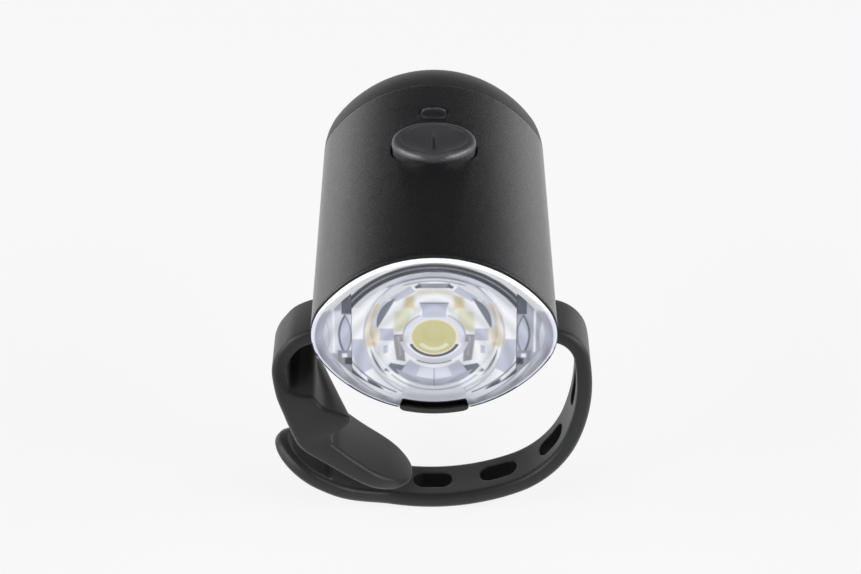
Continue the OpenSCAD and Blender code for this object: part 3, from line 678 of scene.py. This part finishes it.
class HEADLIGHT_OT_button(Operator):
    """Make the dished button and the small indicator window"""

    bl_idname = "headlight.button"
    bl_label = "Button and window"

    def execute(self, context):
        head, knob = context.scene.headlight_head, context.scene.headlight_button
        centre, crest, radius = head.centre / MM, knob.crest / MM, knob.radius / MM
        # Profile from the foot: wall, lip, a narrow fall inside the lip, then the dish
        foot, lip, fall, drop = 3.6, 1.0, 0.4, 0.12
        a = np.linspace(-0.15 * np.pi, np.pi / 2, 9)
        b = np.linspace(0.25, 1, 5)
        dish = np.linspace(radius - lip - fall, 0, 22)
        top = crest - knob.dish / MM * (1 - (dish / (radius - 1.1)) ** 2)
        r = np.concatenate([[radius - 1, radius - 0.2, radius - 0.14], radius - lip + lip * np.cos(a),
                            radius - lip - fall * b, dish])
        z = np.concatenate([[crest - foot, crest - foot, crest - 2.0], crest - lip + lip * np.sin(a),
                            crest - drop * b**2, top - drop])
        points, faces = self.turned(r, z, 120, self.grooves)
        put("button_skin", points + [0, knob.place / MM, centre], faces, ["button_black"], "button",
            ["button_cap"])
        pane, height = knob.window_radius / MM, head.height / MM / 2
        bead = np.linspace(0, np.pi / 2, 14)
        r = np.concatenate([[pane - 0.5, pane], pane * np.cos(bead)])
        z = np.concatenate([[height - 2, height - 2], height - 0.3 + 0.65 * np.sin(bead)])
        points, faces = self.turned(r, z, 48)
        put("indicator_window", points + [0, knob.window_place / MM, centre], faces, ["window_smoke"], "head",
            ["indicator_light_pipe"])
        return {"FINISHED"}

    @staticmethod
    def grooves(x, y):
        """Depth of the button's relief: a thin groove along its middle and a shallow dip in front."""
        deep, thin, reach, wide = 0.3, 0.45, 3.5, 2.4
        groove = deep * smooth((thin - np.abs(x)) / 0.3) * smooth((reach - np.abs(y)) / 1.8)
        return groove + deep * smooth((wide - np.abs(x)) / wide) * smooth((-y - 2.2) / 2.6)

    @staticmethod
    def turned(r, z, n, relief=None):
        """Profile turned about Z: the relief lowers the rows near the top, the first row is closed flat, and
        the last one is drawn together to a point."""
        a = np.linspace(0, 2 * np.pi, n, endpoint=False)
        x, y = r[:, None] * np.cos(a), r[:, None] * np.sin(a)
        high = np.repeat(z[:, None], n, 1)
        if relief:
            high = high - relief(x, y) * smooth((z[:, None] - z.max() + 2.6) / 0.6)
        points = np.stack([x, y, high], 2).reshape(-1, 3)
        quads = ring_quads(len(r), n)[:, ::-1]
        top = (len(r) - 1) * n
        quads[quads >= top] = top
        quads = np.roll(quads, 2, 1)
        return points[:top + 1], [quads, np.arange(n)[None, ::-1]]


class HEADLIGHT_OT_cover(Operator):
    """Make the rubber flap over the charging port: plate, grip bar, hinge barrel and plug"""

    bl_idname = "headlight.cover"
    bl_label = "Port cover"

    def execute(self, context):
        low, high = (np.array(c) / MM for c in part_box("port_cover"))
        face, axis = high[1] - 0.49, high[2] - 0.6
        mid = (low[2] + axis) / 2
        # Plate, grip, hinge and plug: half length and half height, corners in the cover's plane, height and
        # place of the middle, half thickness and edge radius
        bars = (
            (high[0], axis - mid, 1.3, mid, face - 0.6, 0.58, 0.25),
            (3.0, 0.5, 0.45, low[2] + 1.4, face, 0.46, 0.3),
            (high[0] - 1.2, 0.6, 0.1, axis, face - 0.6, 0.6, 0.55),
            (4.5, 1.7, 1.2, low[2] + 4, face - 1.4, 0.28, 0.2),
        )
        points, faces, count, n = [], [], 0, 49
        for half, tall, corner, z, y, thick, edge in bars:
            x = half * np.sin(np.linspace(-1, 1, n) * np.pi / 2)
            rise = tall - eased(half - np.abs(x), corner)
            above, below = np.stack([x, z + rise], 1), np.stack([x, z - rise], 1)
            bar, rows = ribbon(above, below, np.full(n, thick), np.full(n, y), edge)
            points.append(bar)
            faces += [block + count for block in rows]
            count += len(bar)
        put("cover_flap", np.concatenate(points), faces, ["cover_rubber"], "port_cover", ["port_cover"])
        return {"FINISHED"}


class HEADLIGHT_OT_optic(Operator):
    """Make the faceted optic behind the lens, and the light guides beside it"""

    bl_idname = "headlight.optic"
    bl_label = "Optic"

    # Relief of the front: radius, and depth in millimetres behind the flange's face
    RELIEF = (
        (0, 0.4), (1, 0.48), (1.87, 0.7), (4, 0.7), (5.5, 1.5), (7.6, 0.75), (8.9, 1.25), (9.8, 0.35),
        (9.81, 0),
    )
    # What each facet mirrors, painted in turn; distances to the side count both ways
    STROKES = (
        ("pale", "moon", 14.15, -4.15, 13.5, -4.2, 4.5), ("ink", "moon", 15.5, -4.28, 14.1, -4.15, 4.0),
        ("grey", "moon", 14.95, -4.25, 14.75, -4.22, 5.0), ("grey", "moon", 13.5, -4.2, 13.2, -4.2, 7.6),
        ("silver", "moon", 12.9, -4.2, 12.7, -4.2, 7.9), ("lavender", "ring", 9.5, 9.75, 25, 165),
        ("cream", "ring", 8.8, 9.5, 56, 100), ("pale", "ring", 8.1, 8.8, 50, 86),
        ("lavender", "ring", 9.75, 11.6, 92, 120),
        ("lavender", "poly", 2.6, 7.0, 5.2, 5.4, 6.1, 5.9, 3.3, 7.8), ("steel", "leaf", 7.95, 0.5, 61, 20),
        ("grey", "poly", -1, 7.5, 1.9, 7.5, 2.1, 8.2, -1, 8.2),
        ("slate", "poly", 1.7, 7.6, 2.5, 7.4, 2.7, 7.7, 2.0, 8.2), ("cream", "box", -1, 2.6, 6.65, 7.1),
        ("gold", "poly", 2.7, 4.3, 4.2, 4.3, 4.0, 6.2, 2.7, 6.3),
        ("straw", "poly", 3.3, 0.9, 5.6, 0.9, 5.4, 3.8, 3.2, 4.4),
        ("taupe", "poly", 4.0, -3.9, 5.2, -3.6, 5.7, 0.3, 4.2, 0.4),
        ("silver", "poly", 4.5, -3.0, 4.8, -3.0, 5.1, 0.0, 4.8, 0.0),
        ("lavender", "box", 5.6, 7.55, -0.6, 1.25), ("cream", "box", 7.55, 9.3, -0.6, 1.25),
        ("gold", "box", 8.0, 9.0, -1.5, -0.8), ("slate", "leaf", 8.95, 0.14, 117, 15),
        ("lavender", "poly", 6.4, -2.5, 7.0, -2.6, 7.0, -1.4, 6.4, -1.3),
        ("lavender", "ring", 4.9, 7.8, 137, 181), ("pale", "ring", 5.0, 6.6, 158, 181),
        ("steel", "poly", 4.9, -5.9, 7.0, -5.3, 6.0, -4.1, 4.0, -4.5),
        ("silver", "leaf", 7.3, 0.4, 150, 16), ("white", "ring", 7.8, 8.25, 120, 181),
        ("silver", "ring", 8.25, 8.45, 135, 181), ("grey", "box", -1, 0.06, -7.7, -5.0),
        ("slate", "under", 15.4, -4.28, 14.5, -4.2, 6.4), ("slate", "leaf", 11.3, 0.55, 136, 11),
        ("steel", "under", 14.0, -4.2, 13.8, -4.2, 5.2), ("silver", "box", -1, 6.4, -9.95, -9.2),
        ("grey", "box", -1, 5.4, -10.6, -10.1), ("pale", "oval", 3.0, 4.3, 0, 110),
        ("lavender", "box", -1, 1.65, 3.0, 4.5), ("lavender", "poly", -1, 4.2, 1.6, 4.2, 2.1, 5.3, -1, 5.3),
        ("grey", "box", -1, 1.9, 5.05, 5.3), ("white", "poly", 1.65, 4.0, 1.85, 4.0, 2.4, 5.3, 2.15, 5.3),
        ("silver", "oval", 4.2, 4.4, 30, 95), ("pale", "oval", 4.0, 4.85, 100, 181),
        ("slate", "oval", 4.85, 5.05, 147, 181), ("white", "oval", 5.05, 5.3, 140, 181),
        ("slate", "oval", 3.2, 3.72, 110, 181), ("white", "oval", 3.72, 4.0, 105, 181),
        ("cream", "oval", 0, 3.22, 0, 181), ("yellow", "oval", 0, 3.05, 0, 181),
        ("straw", "oval", 1.9, 2.5, 120, 181),
    )
    # Painted reflections and shade that the light guides beside the optic show
    GUIDES = (
        ("slate", "box", 11, 12.7, 3.5, 9), ("silver", "box", 12.7, 17, 4.0, 9),
        ("slate", "pod", 12.25, 0.95, 0.3, 3.2), ("lavender", "pod", 12.2, 0.72, 0.3, 2.8),
        ("white", "box", 13.65, 13.95, -2.4, 4.2), ("silver", "pod", 14.9, 0.55, 0.0, 2.8),
        ("pale", "pod", 14.85, 0.4, 0.0, 2.5), ("grey", "box", 11, 13.3, -6, -2.1),
        ("ink", "box", 11.3, 12.3, -4.3, -3.2), ("white", "box", 12.0, 12.7, -3.2, -2.6),
        ("silver", "box", 13.3, 17, -6, -2.6),
    )

    def execute(self, context):
        head = context.scene.headlight_head
        eye = Eye(head)
        self.face, self.centre = head.lens_y / MM, head.centre / MM
        front, inset = head.rim_y / MM - self.face + 0.05, 1.7
        self.facets(eye, front, inset)
        # The right guide is painted on a darker ground than the left: painted shade on that side
        for side, name, ground in ((-1, "light_guide_left", "pale"), (1, "light_guide_right", "silver")):
            self.guide(eye, front, inset, side, name, ground)
        return {"FINISHED"}

    def facets(self, eye, front, inset):
        """Optic: rings from the flange's outline, which the eye's arcs and two upright sides bound, to the
        middle. Their depth follows the relief, taken along sixteen-sided rings. A wall and a flat back close
        it."""
        wide, thick, rings, n, facet = 11.3, 2.4, 120, 400, np.pi / 8
        a = np.linspace(0, 2 * np.pi, n, endpoint=False)
        c, s = np.cos(a), np.sin(a)
        reach = np.sqrt((eye.big - inset) ** 2 - (eye.big_c * c) ** 2) - eye.big_c * np.abs(s)
        reach = np.minimum(reach, wide / np.maximum(np.abs(c), 1e-6))
        r = np.linspace(1, 0, rings)[:, None] * reach
        flat = r * np.cos(np.mod(a, facet) - facet / 2) / np.cos(facet / 2)
        depth = front + np.interp(flat, *np.array(self.RELIEF, float).T)
        depth = np.concatenate([np.full((1, n), front + thick), depth])
        x, z = (np.concatenate([q[:1], q]) for q in (r * c, r * s))
        top = rings * n
        quads = np.minimum(ring_quads(rings + 1, n), top)[:, [1, 2, 3, 0]]
        x, depth, z = (q.ravel()[:top + 1] for q in (x, depth, z))
        self.add("optic_facets", x, depth, z, [quads, np.arange(n)[None]], self.STROKES, "white",
                 ["collimator"])

    def guide(self, eye, front, inset, side, name, ground):
        """Light guide from the optic's upright side to the eye's tip: a plate with the section's outline."""
        start, thick, tip = 11.36, 2, eye.tip - inset
        xs = start + (eye.tip_c + tip - 0.02 - start) * np.sin(np.linspace(0, np.pi / 2, 40))
        meet = eye.tip_c + tip * eye.tip_c / np.hypot(eye.tip_c, eye.big_c)
        arc = np.sqrt(np.maximum((eye.big - inset) ** 2 - xs**2, 0)) - eye.big_c
        high = np.where(xs < meet, arc, np.sqrt(np.maximum(tip**2 - (xs - eye.tip_c) ** 2, 0)))
        plan, quads = grid(xs, np.linspace(-1, 1, 61))
        _, faces = shell(quads if side > 0 else quads[:, ::-1], plan, plan)
        x, z = plan[:, 0], plan[:, 1] * np.interp(plan[:, 0], xs, high)
        depth = np.repeat([front, front + thick], len(plan))
        self.add(name, side * np.tile(x, 2), depth, np.tile(z, 2), faces, self.GUIDES, ground)

    def add(self, name, x, depth, z, faces, strokes, ground, nodes=()):
        """Piece of the optic, painted with the reflections and shade that it shows, from X, the depth behind
        the lens face, and Z.
        """
        painted_light = paint(strokes, ground, x, z + SLANT * depth)
        points = np.stack([x, self.face + depth, z + self.centre], 1)
        put(name, points, faces, ["optic_facets"], "head", nodes, sharp=18, painted_light=painted_light)


class HEADLIGHT_OT_strap(Operator):
    """Make the rubber mount: saddle, hook arm with its peg, and the slotted band with its pull tab"""

    bl_idname = "headlight.strap"
    bl_label = "Rubber strap"

    # Bends of the band, clockwise from the right of the saddle: radius and sweep in degrees. The first is
    # straight, with its length
    CHAIN = ((0, 8), (5, 79), (25, 31.5), (15, 48), (34.5, 13.6), (34.5, 26.4), (38, 21.5))
    START = (9.0, 14.4)
    # Place of the last slot but one behind the fourth bend's end, and the slots' corner radius and half sizes
    SLOT_AT, SLOT_R, SLOT_HALF = 12.7, 1.4, (2.6, 1.5)
    # Middle and radius of the tab's round end, in plan, and the same of the tongue's
    TAB_X, TAB_R = -17.03, 6.7
    TONGUE_X, TONGUE_R = -10.0, 6.7
    # Hook arm: points on its outer side and, across from each, on its inner side
    HOOK = (
        (-10, 15.55, -10, 13.1), (-14, 15.6, -14, 13.1), (-17.6, 15.6, -17.2, 13.2),
        (-20.6, 14.4, -19.3, 12.5), (-22.3, 12.7, -20.6, 11.4), (-23.5, 10.8, -21.4, 10.0),
        (-24, 8.4, -21.95, 8.3), (-23.5, 5.1, -21.4, 6.3), (-22.9, 3.2, -19.9, 5.5),
        (-22.3, 1.6, -18.0, 5.0), (-21.9, 0.4, -16.4, 3.2), (-21.5, -0.6, -14.1, 2.2),
        (-21.2, -1.5, -12.4, 1.2), (-20.8, -2.4, -13.1, -0.2), (-20.3, -3.4, -14.9, -1.4),
        (-19.3, -4.5, -15.2, -2.8), (-17.4, -5.8, -13.9, -4.1), (-13.4, -8.5, -11.4, -6.2),
        (-10, -10.5, -8.6, -8.2), (-6.4, -11.9, -5.4, -10.1), (-3.6, -12.3, -3.3, -11.5),
    )

    def execute(self, context):
        size = context.scene.headlight_strap
        self.thick, self.arm, self.wide = size.thickness / MM, size.arm / MM, size.width / MM
        self.root, self.pitch = size.root / MM, size.pitch / MM
        self.bar, self.plate = size.bar / MM, size.plate / MM
        radius, sweep = np.array(self.CHAIN, float).T
        self.bend = np.where(radius > 0, 1 / np.maximum(radius, 1e-9), 0)
        span = np.where(radius > 0, radius * np.radians(sweep), sweep)
        self.marks = np.concatenate([[0], np.cumsum(span)])
        state = [(*self.START, 0.0)]
        for bend, run in zip(self.bend, span):
            state.append(self.advance(*state[-1], bend, run))
        self.state = np.array(state)
        self.end = self.marks[-1]
        self.last = self.marks[4] + self.SLOT_AT + self.pitch
        self.slots = self.last - self.pitch * np.arange(5)
        self.band()
        self.hook()
        self.saddle()
        return {"FINISHED"}

    @staticmethod
    def advance(x, z, h, bend, run):
        """Place and heading after a run from x, z at the heading h: straight where bend, which is one over
        the radius, is nought, and else along an arc to the right."""
        turn, safe = h - bend * run, np.where(bend == 0, 1, bend)
        return (np.where(bend == 0, x + run * np.cos(h), x + (np.sin(h) - np.sin(turn)) / safe),
                np.where(bend == 0, z + run * np.sin(h), z - (np.cos(h) - np.cos(turn)) / safe), turn)

    def along(self, s):
        """Place and heading at a length s along the chain of tangent bends."""
        i = np.clip(np.searchsorted(self.marks, s, side="right") - 1, 0, len(self.bend) - 1)
        return self.advance(*self.state[i].T, self.bend[i], s - self.marks[i])

    def half_width(self, s):
        """Half width: wide at the saddle, narrow in the slotted part, then the tab with its round end."""
        x, z, _ = self.along(s)
        root = (self.root - self.wide) * smooth((z + 6) / 12)
        plain = (self.wide + np.where(x > 0, root, (self.arm - self.wide) * smooth((-6 - x) / 9))) / 2
        tip = np.sqrt(np.maximum(self.TAB_R**2 - (x - self.TAB_X) ** 2, 0))
        return np.where(x < self.TAB_X, np.minimum(plain, tip), plain)

    def band(self):
        """Slotted band: a flat sheet of strips, slot cells and a round tab, carried along the chain, with its
        edges eased by their distance and a raised rim round the inner side of the tab."""
        side = 1 - np.array([0, 0.01, 0.032, 0.072, 0.12, 0.18, 0.4, 0.6, 0.8])
        vs = np.concatenate([-side, [0], side[::-1]])
        near, far = (0, 0.03, 0.08, 0.2), (0.9, 0.6, 0.36, 0.16, 0.05, 0)
        first = self.slots[-1] - self.pitch / 2
        ss = np.concatenate([np.linspace(1, self.marks[1], 8),
                             np.linspace(self.marks[1], self.marks[2], 17)[1:],
                             np.linspace(self.marks[2], first, 10)[1:]])
        plan, quads = grid(ss, vs)
        plan[:, 1] *= self.half_width(plan[:, 0])
        sheets = [(plan, quads)]
        loop = rounded_loop(*self.SLOT_HALF, self.SLOT_R, 18, len(vs) - 1)
        for at in self.slots[::-1]:
            us = np.linspace(at - self.pitch / 2, at + self.pitch / 2, 19)
            edge = self.half_width(us)
            sheets.append(ring_cell(us, -edge, edge, vs, loop + [at, 0], near, far, 5))
        sheets.append(self.tab(us[-1], vs))
        plan, quads = join(*sheets)
        s, w = plan.T
        x = self.along(s)[0]
        d = np.where(x < self.TAB_X, self.TAB_R - np.hypot(x - self.TAB_X, w), self.half_width(s) - np.abs(w))
        # Each slot's edge is eased too, and the slot widens towards the inner side by its draft
        fall, cut, draft = eased(d, 0.85), np.full(len(s), self.pitch), np.zeros((2, len(s)))
        for at in self.slots:
            q = np.abs([s - at, w]) - (np.array(self.SLOT_HALF) - self.SLOT_R)[:, None]
            gap = np.hypot(*np.maximum(q, 0)) + np.minimum(q.max(0), 0) - self.SLOT_R
            fall, cut = np.maximum(fall, eased(gap, 0.12)), np.minimum(cut, gap)
            draft += (1 - smooth(gap / 1.6)) * np.stack([0.18 * (s - at), 0.37 * w])
        top = self.thick / 2 - fall
        hollow = 0.5 * smooth((d - 0.9) / 0.6) * smooth((s - self.last - self.pitch / 2) / 1.4)
        skins = []
        for t, (ds, dw) in ((top, 0 * draft), (hollow - top, draft)):
            x, z, h = self.along(s + ds)
            skins.append(np.stack([x - t * np.sin(h), w + dw, z + t * np.cos(h)], 1))
        points, faces = shell(quads, *skins)
        # The slots' walls take painted shade, a darker and matt rubber of their own; the mesh has its
        # triangles after its quads
        slot = np.arange(len(faces)) >= 2 * len(quads)
        slot &= cut[faces[:, 0] % len(s)] < 0.02
        flat = faces[:, 0] == faces[:, -1]
        band = put("strap_band", points, faces, ["strap_rubber", "slot_rubber_painted_shade"], None,
                   ["strap", "strap_tail"], sharp=60,
                   zones=np.concatenate([slot[~flat], slot[flat]]))
        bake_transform(band)

    def tab(self, start, vs):
        """Round end of the band: rings that shrink from the outline to its middle."""
        s_all = np.linspace(start, self.end + 0.02, 200)
        x_all = self.along(s_all)[0]
        reach = lambda x: np.interp(-x, -x_all, s_all)
        run = np.linspace(start, reach(self.TAB_X), 5)[:-1]
        edge = self.half_width(run)
        beta = np.linspace(-np.pi / 2, np.pi / 2, 37)
        tip = np.stack([reach(self.TAB_X - self.TAB_R * np.cos(beta)), self.TAB_R * np.sin(beta)], 1)
        side = np.stack([np.full(len(vs), start), edge[0] * vs[::-1]], 1)
        outline = np.concatenate([np.stack([run, -edge], 1), tip, np.stack([run, edge], 1)[:0:-1], side[:-1]])
        middle = np.array([start + 0.45 * (self.end - start), 0])
        reach = np.linalg.norm(outline - middle, axis=1)
        share = np.array([0, 0.05, 0.16, 0.36, 0.6, 0.9, 1.05, 1.2, 1.35, 1.5, 1.8])[:, None] / reach
        inner = share[-1] + (1 - share[-1]) * np.linspace(0, 1, 6)[1:, None]
        share = np.concatenate([share, inner])[::-1]
        points = outline + share[:, :, None] * (middle - outline)
        return points.reshape(-1, 2), ring_quads(len(share), len(outline))

    def hook(self):
        """Hook arm carried along its path, round in plan at the tongue's tip, and the last slot's peg."""
        steps = 10
        path = flow(np.array(self.HOOK, float), steps)
        step = np.arange(len(path)) / steps
        outer, inner = path[:, :2], path[:, 2:]
        x, z = path[:, [0, 2]].mean(1), path[:, [1, 3]].mean(1)
        # The tongue is what lies past the web and beyond the middle of its round end
        tongue = (step > 12) & (x > self.TONGUE_X)
        plan = np.sqrt(np.maximum(self.TONGUE_R**2 - (x - self.TONGUE_X) ** 2, 0.3))
        full = (self.arm + (self.root - self.arm) * smooth((z - 3) / 8)) / 2
        half = np.where(tongue, plan, full)
        points, faces = ribbon(outer, inner, half, np.zeros(len(path)), 0.8, turns=6)
        # Towards the back the web's inner side slants outwards, and its floor rises
        rise, lean = 2.7, 3.5
        rows = points.reshape(len(path), -1, 3)
        slant = (smooth((step - 9) / 2) * smooth((16 - step) / 2.5))[:, None]
        lift = (smooth((step - 6.5) / 1.5) * smooth((12.3 - step) / 1.5))[:, None]
        share = np.clip((rows[:, :, 0] - outer[:, :1]) / np.maximum(inner - outer, 1e-6)[:, :1], 0, 1)
        rows[:, :, 2] += rise * lift * share * smooth((rows[:, :, 1] + 1) / 7)
        rows[:, :, 0] -= lean * slant * share * smooth((rows[:, :, 1] + 5.5) / 12)
        put("hook_arm", points, faces, ["strap_rubber"], "mount", sharp=55)
        px, pz, h = self.along(np.array([self.last]))
        loop = rounded_loop(1.4, 1.7, 0.8, 6, 6)
        n, drop = len(loop), np.array([[-1.3], [-1.0], [2.0], [3.0]])
        run, side = (np.array([[0.8], [1.0], [1.0], [1.0]]) * q for q in loop.T)
        peg = np.stack([px + run * np.cos(h) + drop * np.sin(h), side,
                        pz + run * np.sin(h) - drop * np.cos(h)], 2)
        ends = [np.arange(n)[None], (len(drop) - 1) * n + np.arange(n)[None, ::-1]]
        put("hook_peg", peg.reshape(-1, 3), [ring_quads(len(drop), n), *ends], ["strap_rubber"], "mount")

    def saddle(self):
        """Saddle on the bar: a ribbon from side to side, with the bar's arc below and the flat top above."""
        reach, length, corner = 10.3, 16, 2.5
        ends = np.array([10.3, 10.27, 10.1, 9.8])
        x = np.concatenate([-ends, np.linspace(-9.4, 9.4, 60), ends[::-1]])
        low = np.sqrt(np.maximum(self.bar**2 - x**2, 6.2**2))
        top = self.plate + 1.4 - eased(reach - np.abs(x), 1.0)
        out = np.maximum(np.abs(x) - (reach - corner), 0)
        half = length / 2 - corner + np.sqrt(np.maximum(corner**2 - out**2, 0.02))
        points, faces = ribbon(np.stack([x, top], 1), np.stack([x, low], 1), half, np.zeros(len(x)), 0.6)
        put("saddle", points, faces, ["strap_rubber"], "mount", sharp=50)


class HEADLIGHT_OT_stage(Operator):
    """Set the pale floor, the soft lights and the camera"""

    bl_idname = "headlight.stage"
    bl_label = "Stage"

    def execute(self, context):
        scene = context.scene
        scene.view_settings.view_transform = "Standard"
        low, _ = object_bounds()
        self.floor(scene, low[2] - 0.0002)
        self.sky(scene)
        for kind, x, y, z, wide, high, power in (("softbox", 0.80, -0.52, 0.46, 0.7, 0.5, 7.8),
                                                 ("strip", 0.9, 0.08, 0.40, 0.4, 0.4, 3.5)):
            for side, hand in ((-1, "left"), (1, "right")):
                self.lamp(hand + "_" + kind, (side * x, y, z), (0, 0, 0.025), wide, high, power)
        self.lamp("top_softbox", (0.0, 0.0, 1.0), (0, 0, 0.02), 1.0, 0.8, 1.2)
        camera = bpy.data.cameras.new("camera")
        camera.lens, camera.sensor_width = 122.4, 36.0
        camera.clip_start = 0.01
        eye = bpy.data.objects.new("camera", camera)
        eye.location = (-0.0005, -0.3852, 0.21625)
        eye.rotation_euler = (np.radians(63), 0, 0)
        scene.collection.objects.link(eye)
        scene.camera = eye
        return {"FINISHED"}

    @staticmethod
    def sky(scene):
        """Studio round the table: pale at the horizon, dark from a quarter of the way up and behind the
        camera, as the product of a fade with the height and one with the depth, each raised to a power."""
        world = bpy.data.worlds.new("studio")
        scene.world = world
        world.use_nodes = True
        nodes, links = world.node_tree.nodes, world.node_tree.links
        way = nodes.new("ShaderNodeTexCoord")
        split = nodes.new("ShaderNodeSeparateXYZ")
        level = reckon(nodes, "MULTIPLY")
        links.new(way.outputs["Generated"], split.inputs["Vector"])
        fades = (("Z", 6, (0.0, 0.23, 1.1, 0.64)), ("Y", 1, (-0.9, -0.3, 0.2, 1.0)))
        for i, (axis, sharp, values) in enumerate(fades):
            fade, power = nodes.new("ShaderNodeMapRange"), reckon(nodes, "POWER", sharp)
            for name, value in zip(("From Min", "From Max", "To Min", "To Max"), values):
                fade.inputs[name].default_value = value
            links.new(split.outputs[axis], fade.inputs["Value"])
            links.new(fade.outputs["Result"], power.inputs[0])
            links.new(power.outputs[0], level.inputs[i])
        links.new(level.outputs[0], nodes["Background"].inputs["Strength"])
        nodes["Background"].inputs["Color"].default_value = (0.97, 0.98, 1.0, 1)

    @staticmethod
    def floor(scene, z):
        """Wide pale floor, which cameras and mirrors see nearly even, with part of the object's shadow."""
        mesh = bpy.data.meshes.new("floor")
        x, y = 6 * np.array([-1, 1, 1, -1]), 6 * np.array([-1, -1, 1, 1])
        mesh.from_pydata(np.stack([x, y, np.full(4, z)], 1), [], [[0, 1, 2, 3]])
        nodes, links = material("floor")
        shader = nodes["Principled BSDF"]
        shader.inputs["Base Color"].default_value = (*scene.headlight_finish.floor, 1)
        shader.inputs["Roughness"].default_value = 0.9
        shader.inputs["Specular IOR Level"].default_value = 0.0
        glow = nodes.new("ShaderNodeEmission")
        mix = nodes.new("ShaderNodeMixShader")
        path = nodes.new("ShaderNodeLightPath")
        glow.inputs["Color"].default_value = (*scene.headlight_finish.floor, 1)
        most, more = reckon(nodes, "MAXIMUM"), reckon(nodes, "MAXIMUM")
        share = reckon(nodes, "MULTIPLY", 0.9)
        links.new(path.outputs["Is Camera Ray"], most.inputs[0])
        links.new(path.outputs["Is Glossy Ray"], most.inputs[1])
        links.new(most.outputs[0], more.inputs[0])
        links.new(path.outputs["Is Transmission Ray"], more.inputs[1])
        links.new(more.outputs[0], share.inputs[0])
        links.new(share.outputs[0], mix.inputs["Fac"])
        links.new(shader.outputs["BSDF"], mix.inputs[1])
        links.new(glow.outputs["Emission"], mix.inputs[2])
        links.new(mix.outputs["Shader"], nodes["Material Output"].inputs["Surface"])
        mesh.materials.append(MADE["floor"])
        obj = bpy.data.objects.new("floor", mesh)
        scene.collection.objects.link(obj)
        obj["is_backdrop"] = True

    @staticmethod
    def lamp(name, place, aim, wide, high, power):
        """Rectangular soft lamp that faces a point."""
        lamp = bpy.data.lights.new(name, "AREA")
        lamp.shape, lamp.size, lamp.size_y, lamp.energy = "RECTANGLE", wide, high, power
        obj = bpy.data.objects.new(name, lamp)
        away = np.array(place) - np.array(aim)
        flat = np.hypot(away[0], away[1])
        obj.location = place
        obj.rotation_euler = (np.arctan2(flat, away[2]), 0, np.arctan2(away[0], -away[1]))
        bpy.context.scene.collection.objects.link(obj)


class HEADLIGHT_PT_panel(Panel):
    """Lists the pieces of the headlight with their sizes"""

    bl_label = "Bike headlight"
    bl_idname = "HEADLIGHT_PT_panel"
    bl_space_type = "VIEW_3D"
    bl_region_type = "UI"
    bl_category = "Headlight"

    def draw(self, context):
        """A button for each operator, then a box with the sizes of each group."""
        for operator in OPERATORS:
            self.layout.operator(operator.bl_idname)
        for key in GROUPS:
            group = getattr(context.scene, key)
            box = self.layout.box()
            for name in group.bl_rna.properties.keys():
                if name not in ("rna_type", "name"):
                    box.prop(group, name)


GROUPS = {
    "headlight_head": HEADLIGHT_PG_head,
    "headlight_button": HEADLIGHT_PG_button,
    "headlight_strap": HEADLIGHT_PG_strap,
    "headlight_finish": HEADLIGHT_PG_finish,
}
OPERATORS = (HEADLIGHT_OT_finishes, HEADLIGHT_OT_housing, HEADLIGHT_OT_optic, HEADLIGHT_OT_lens,
             HEADLIGHT_OT_button, HEADLIGHT_OT_cover, HEADLIGHT_OT_strap, HEADLIGHT_OT_stage)
CLASSES = (*GROUPS.values(), *OPERATORS, HEADLIGHT_PT_panel)


def register():
    """Registers the classes and gives each scene its groups of sizes."""
    for cls in CLASSES:
        bpy.utils.register_class(cls)
    for key, group in GROUPS.items():
        setattr(bpy.types.Scene, key, PointerProperty(type=group))


def unregister():
    """Takes back what register did, in the opposite order."""
    for key in GROUPS:
        delattr(bpy.types.Scene, key)
    for cls in reversed(CLASSES):
        bpy.utils.unregister_class(cls)


def main():
    """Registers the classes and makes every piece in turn."""
    register()
    for operator in OPERATORS:
        group, name = operator.bl_idname.split(".")
        getattr(getattr(bpy.ops, group), name)()
    bpy.context.view_layer.update()


if __name__ == "__main__":
    main()
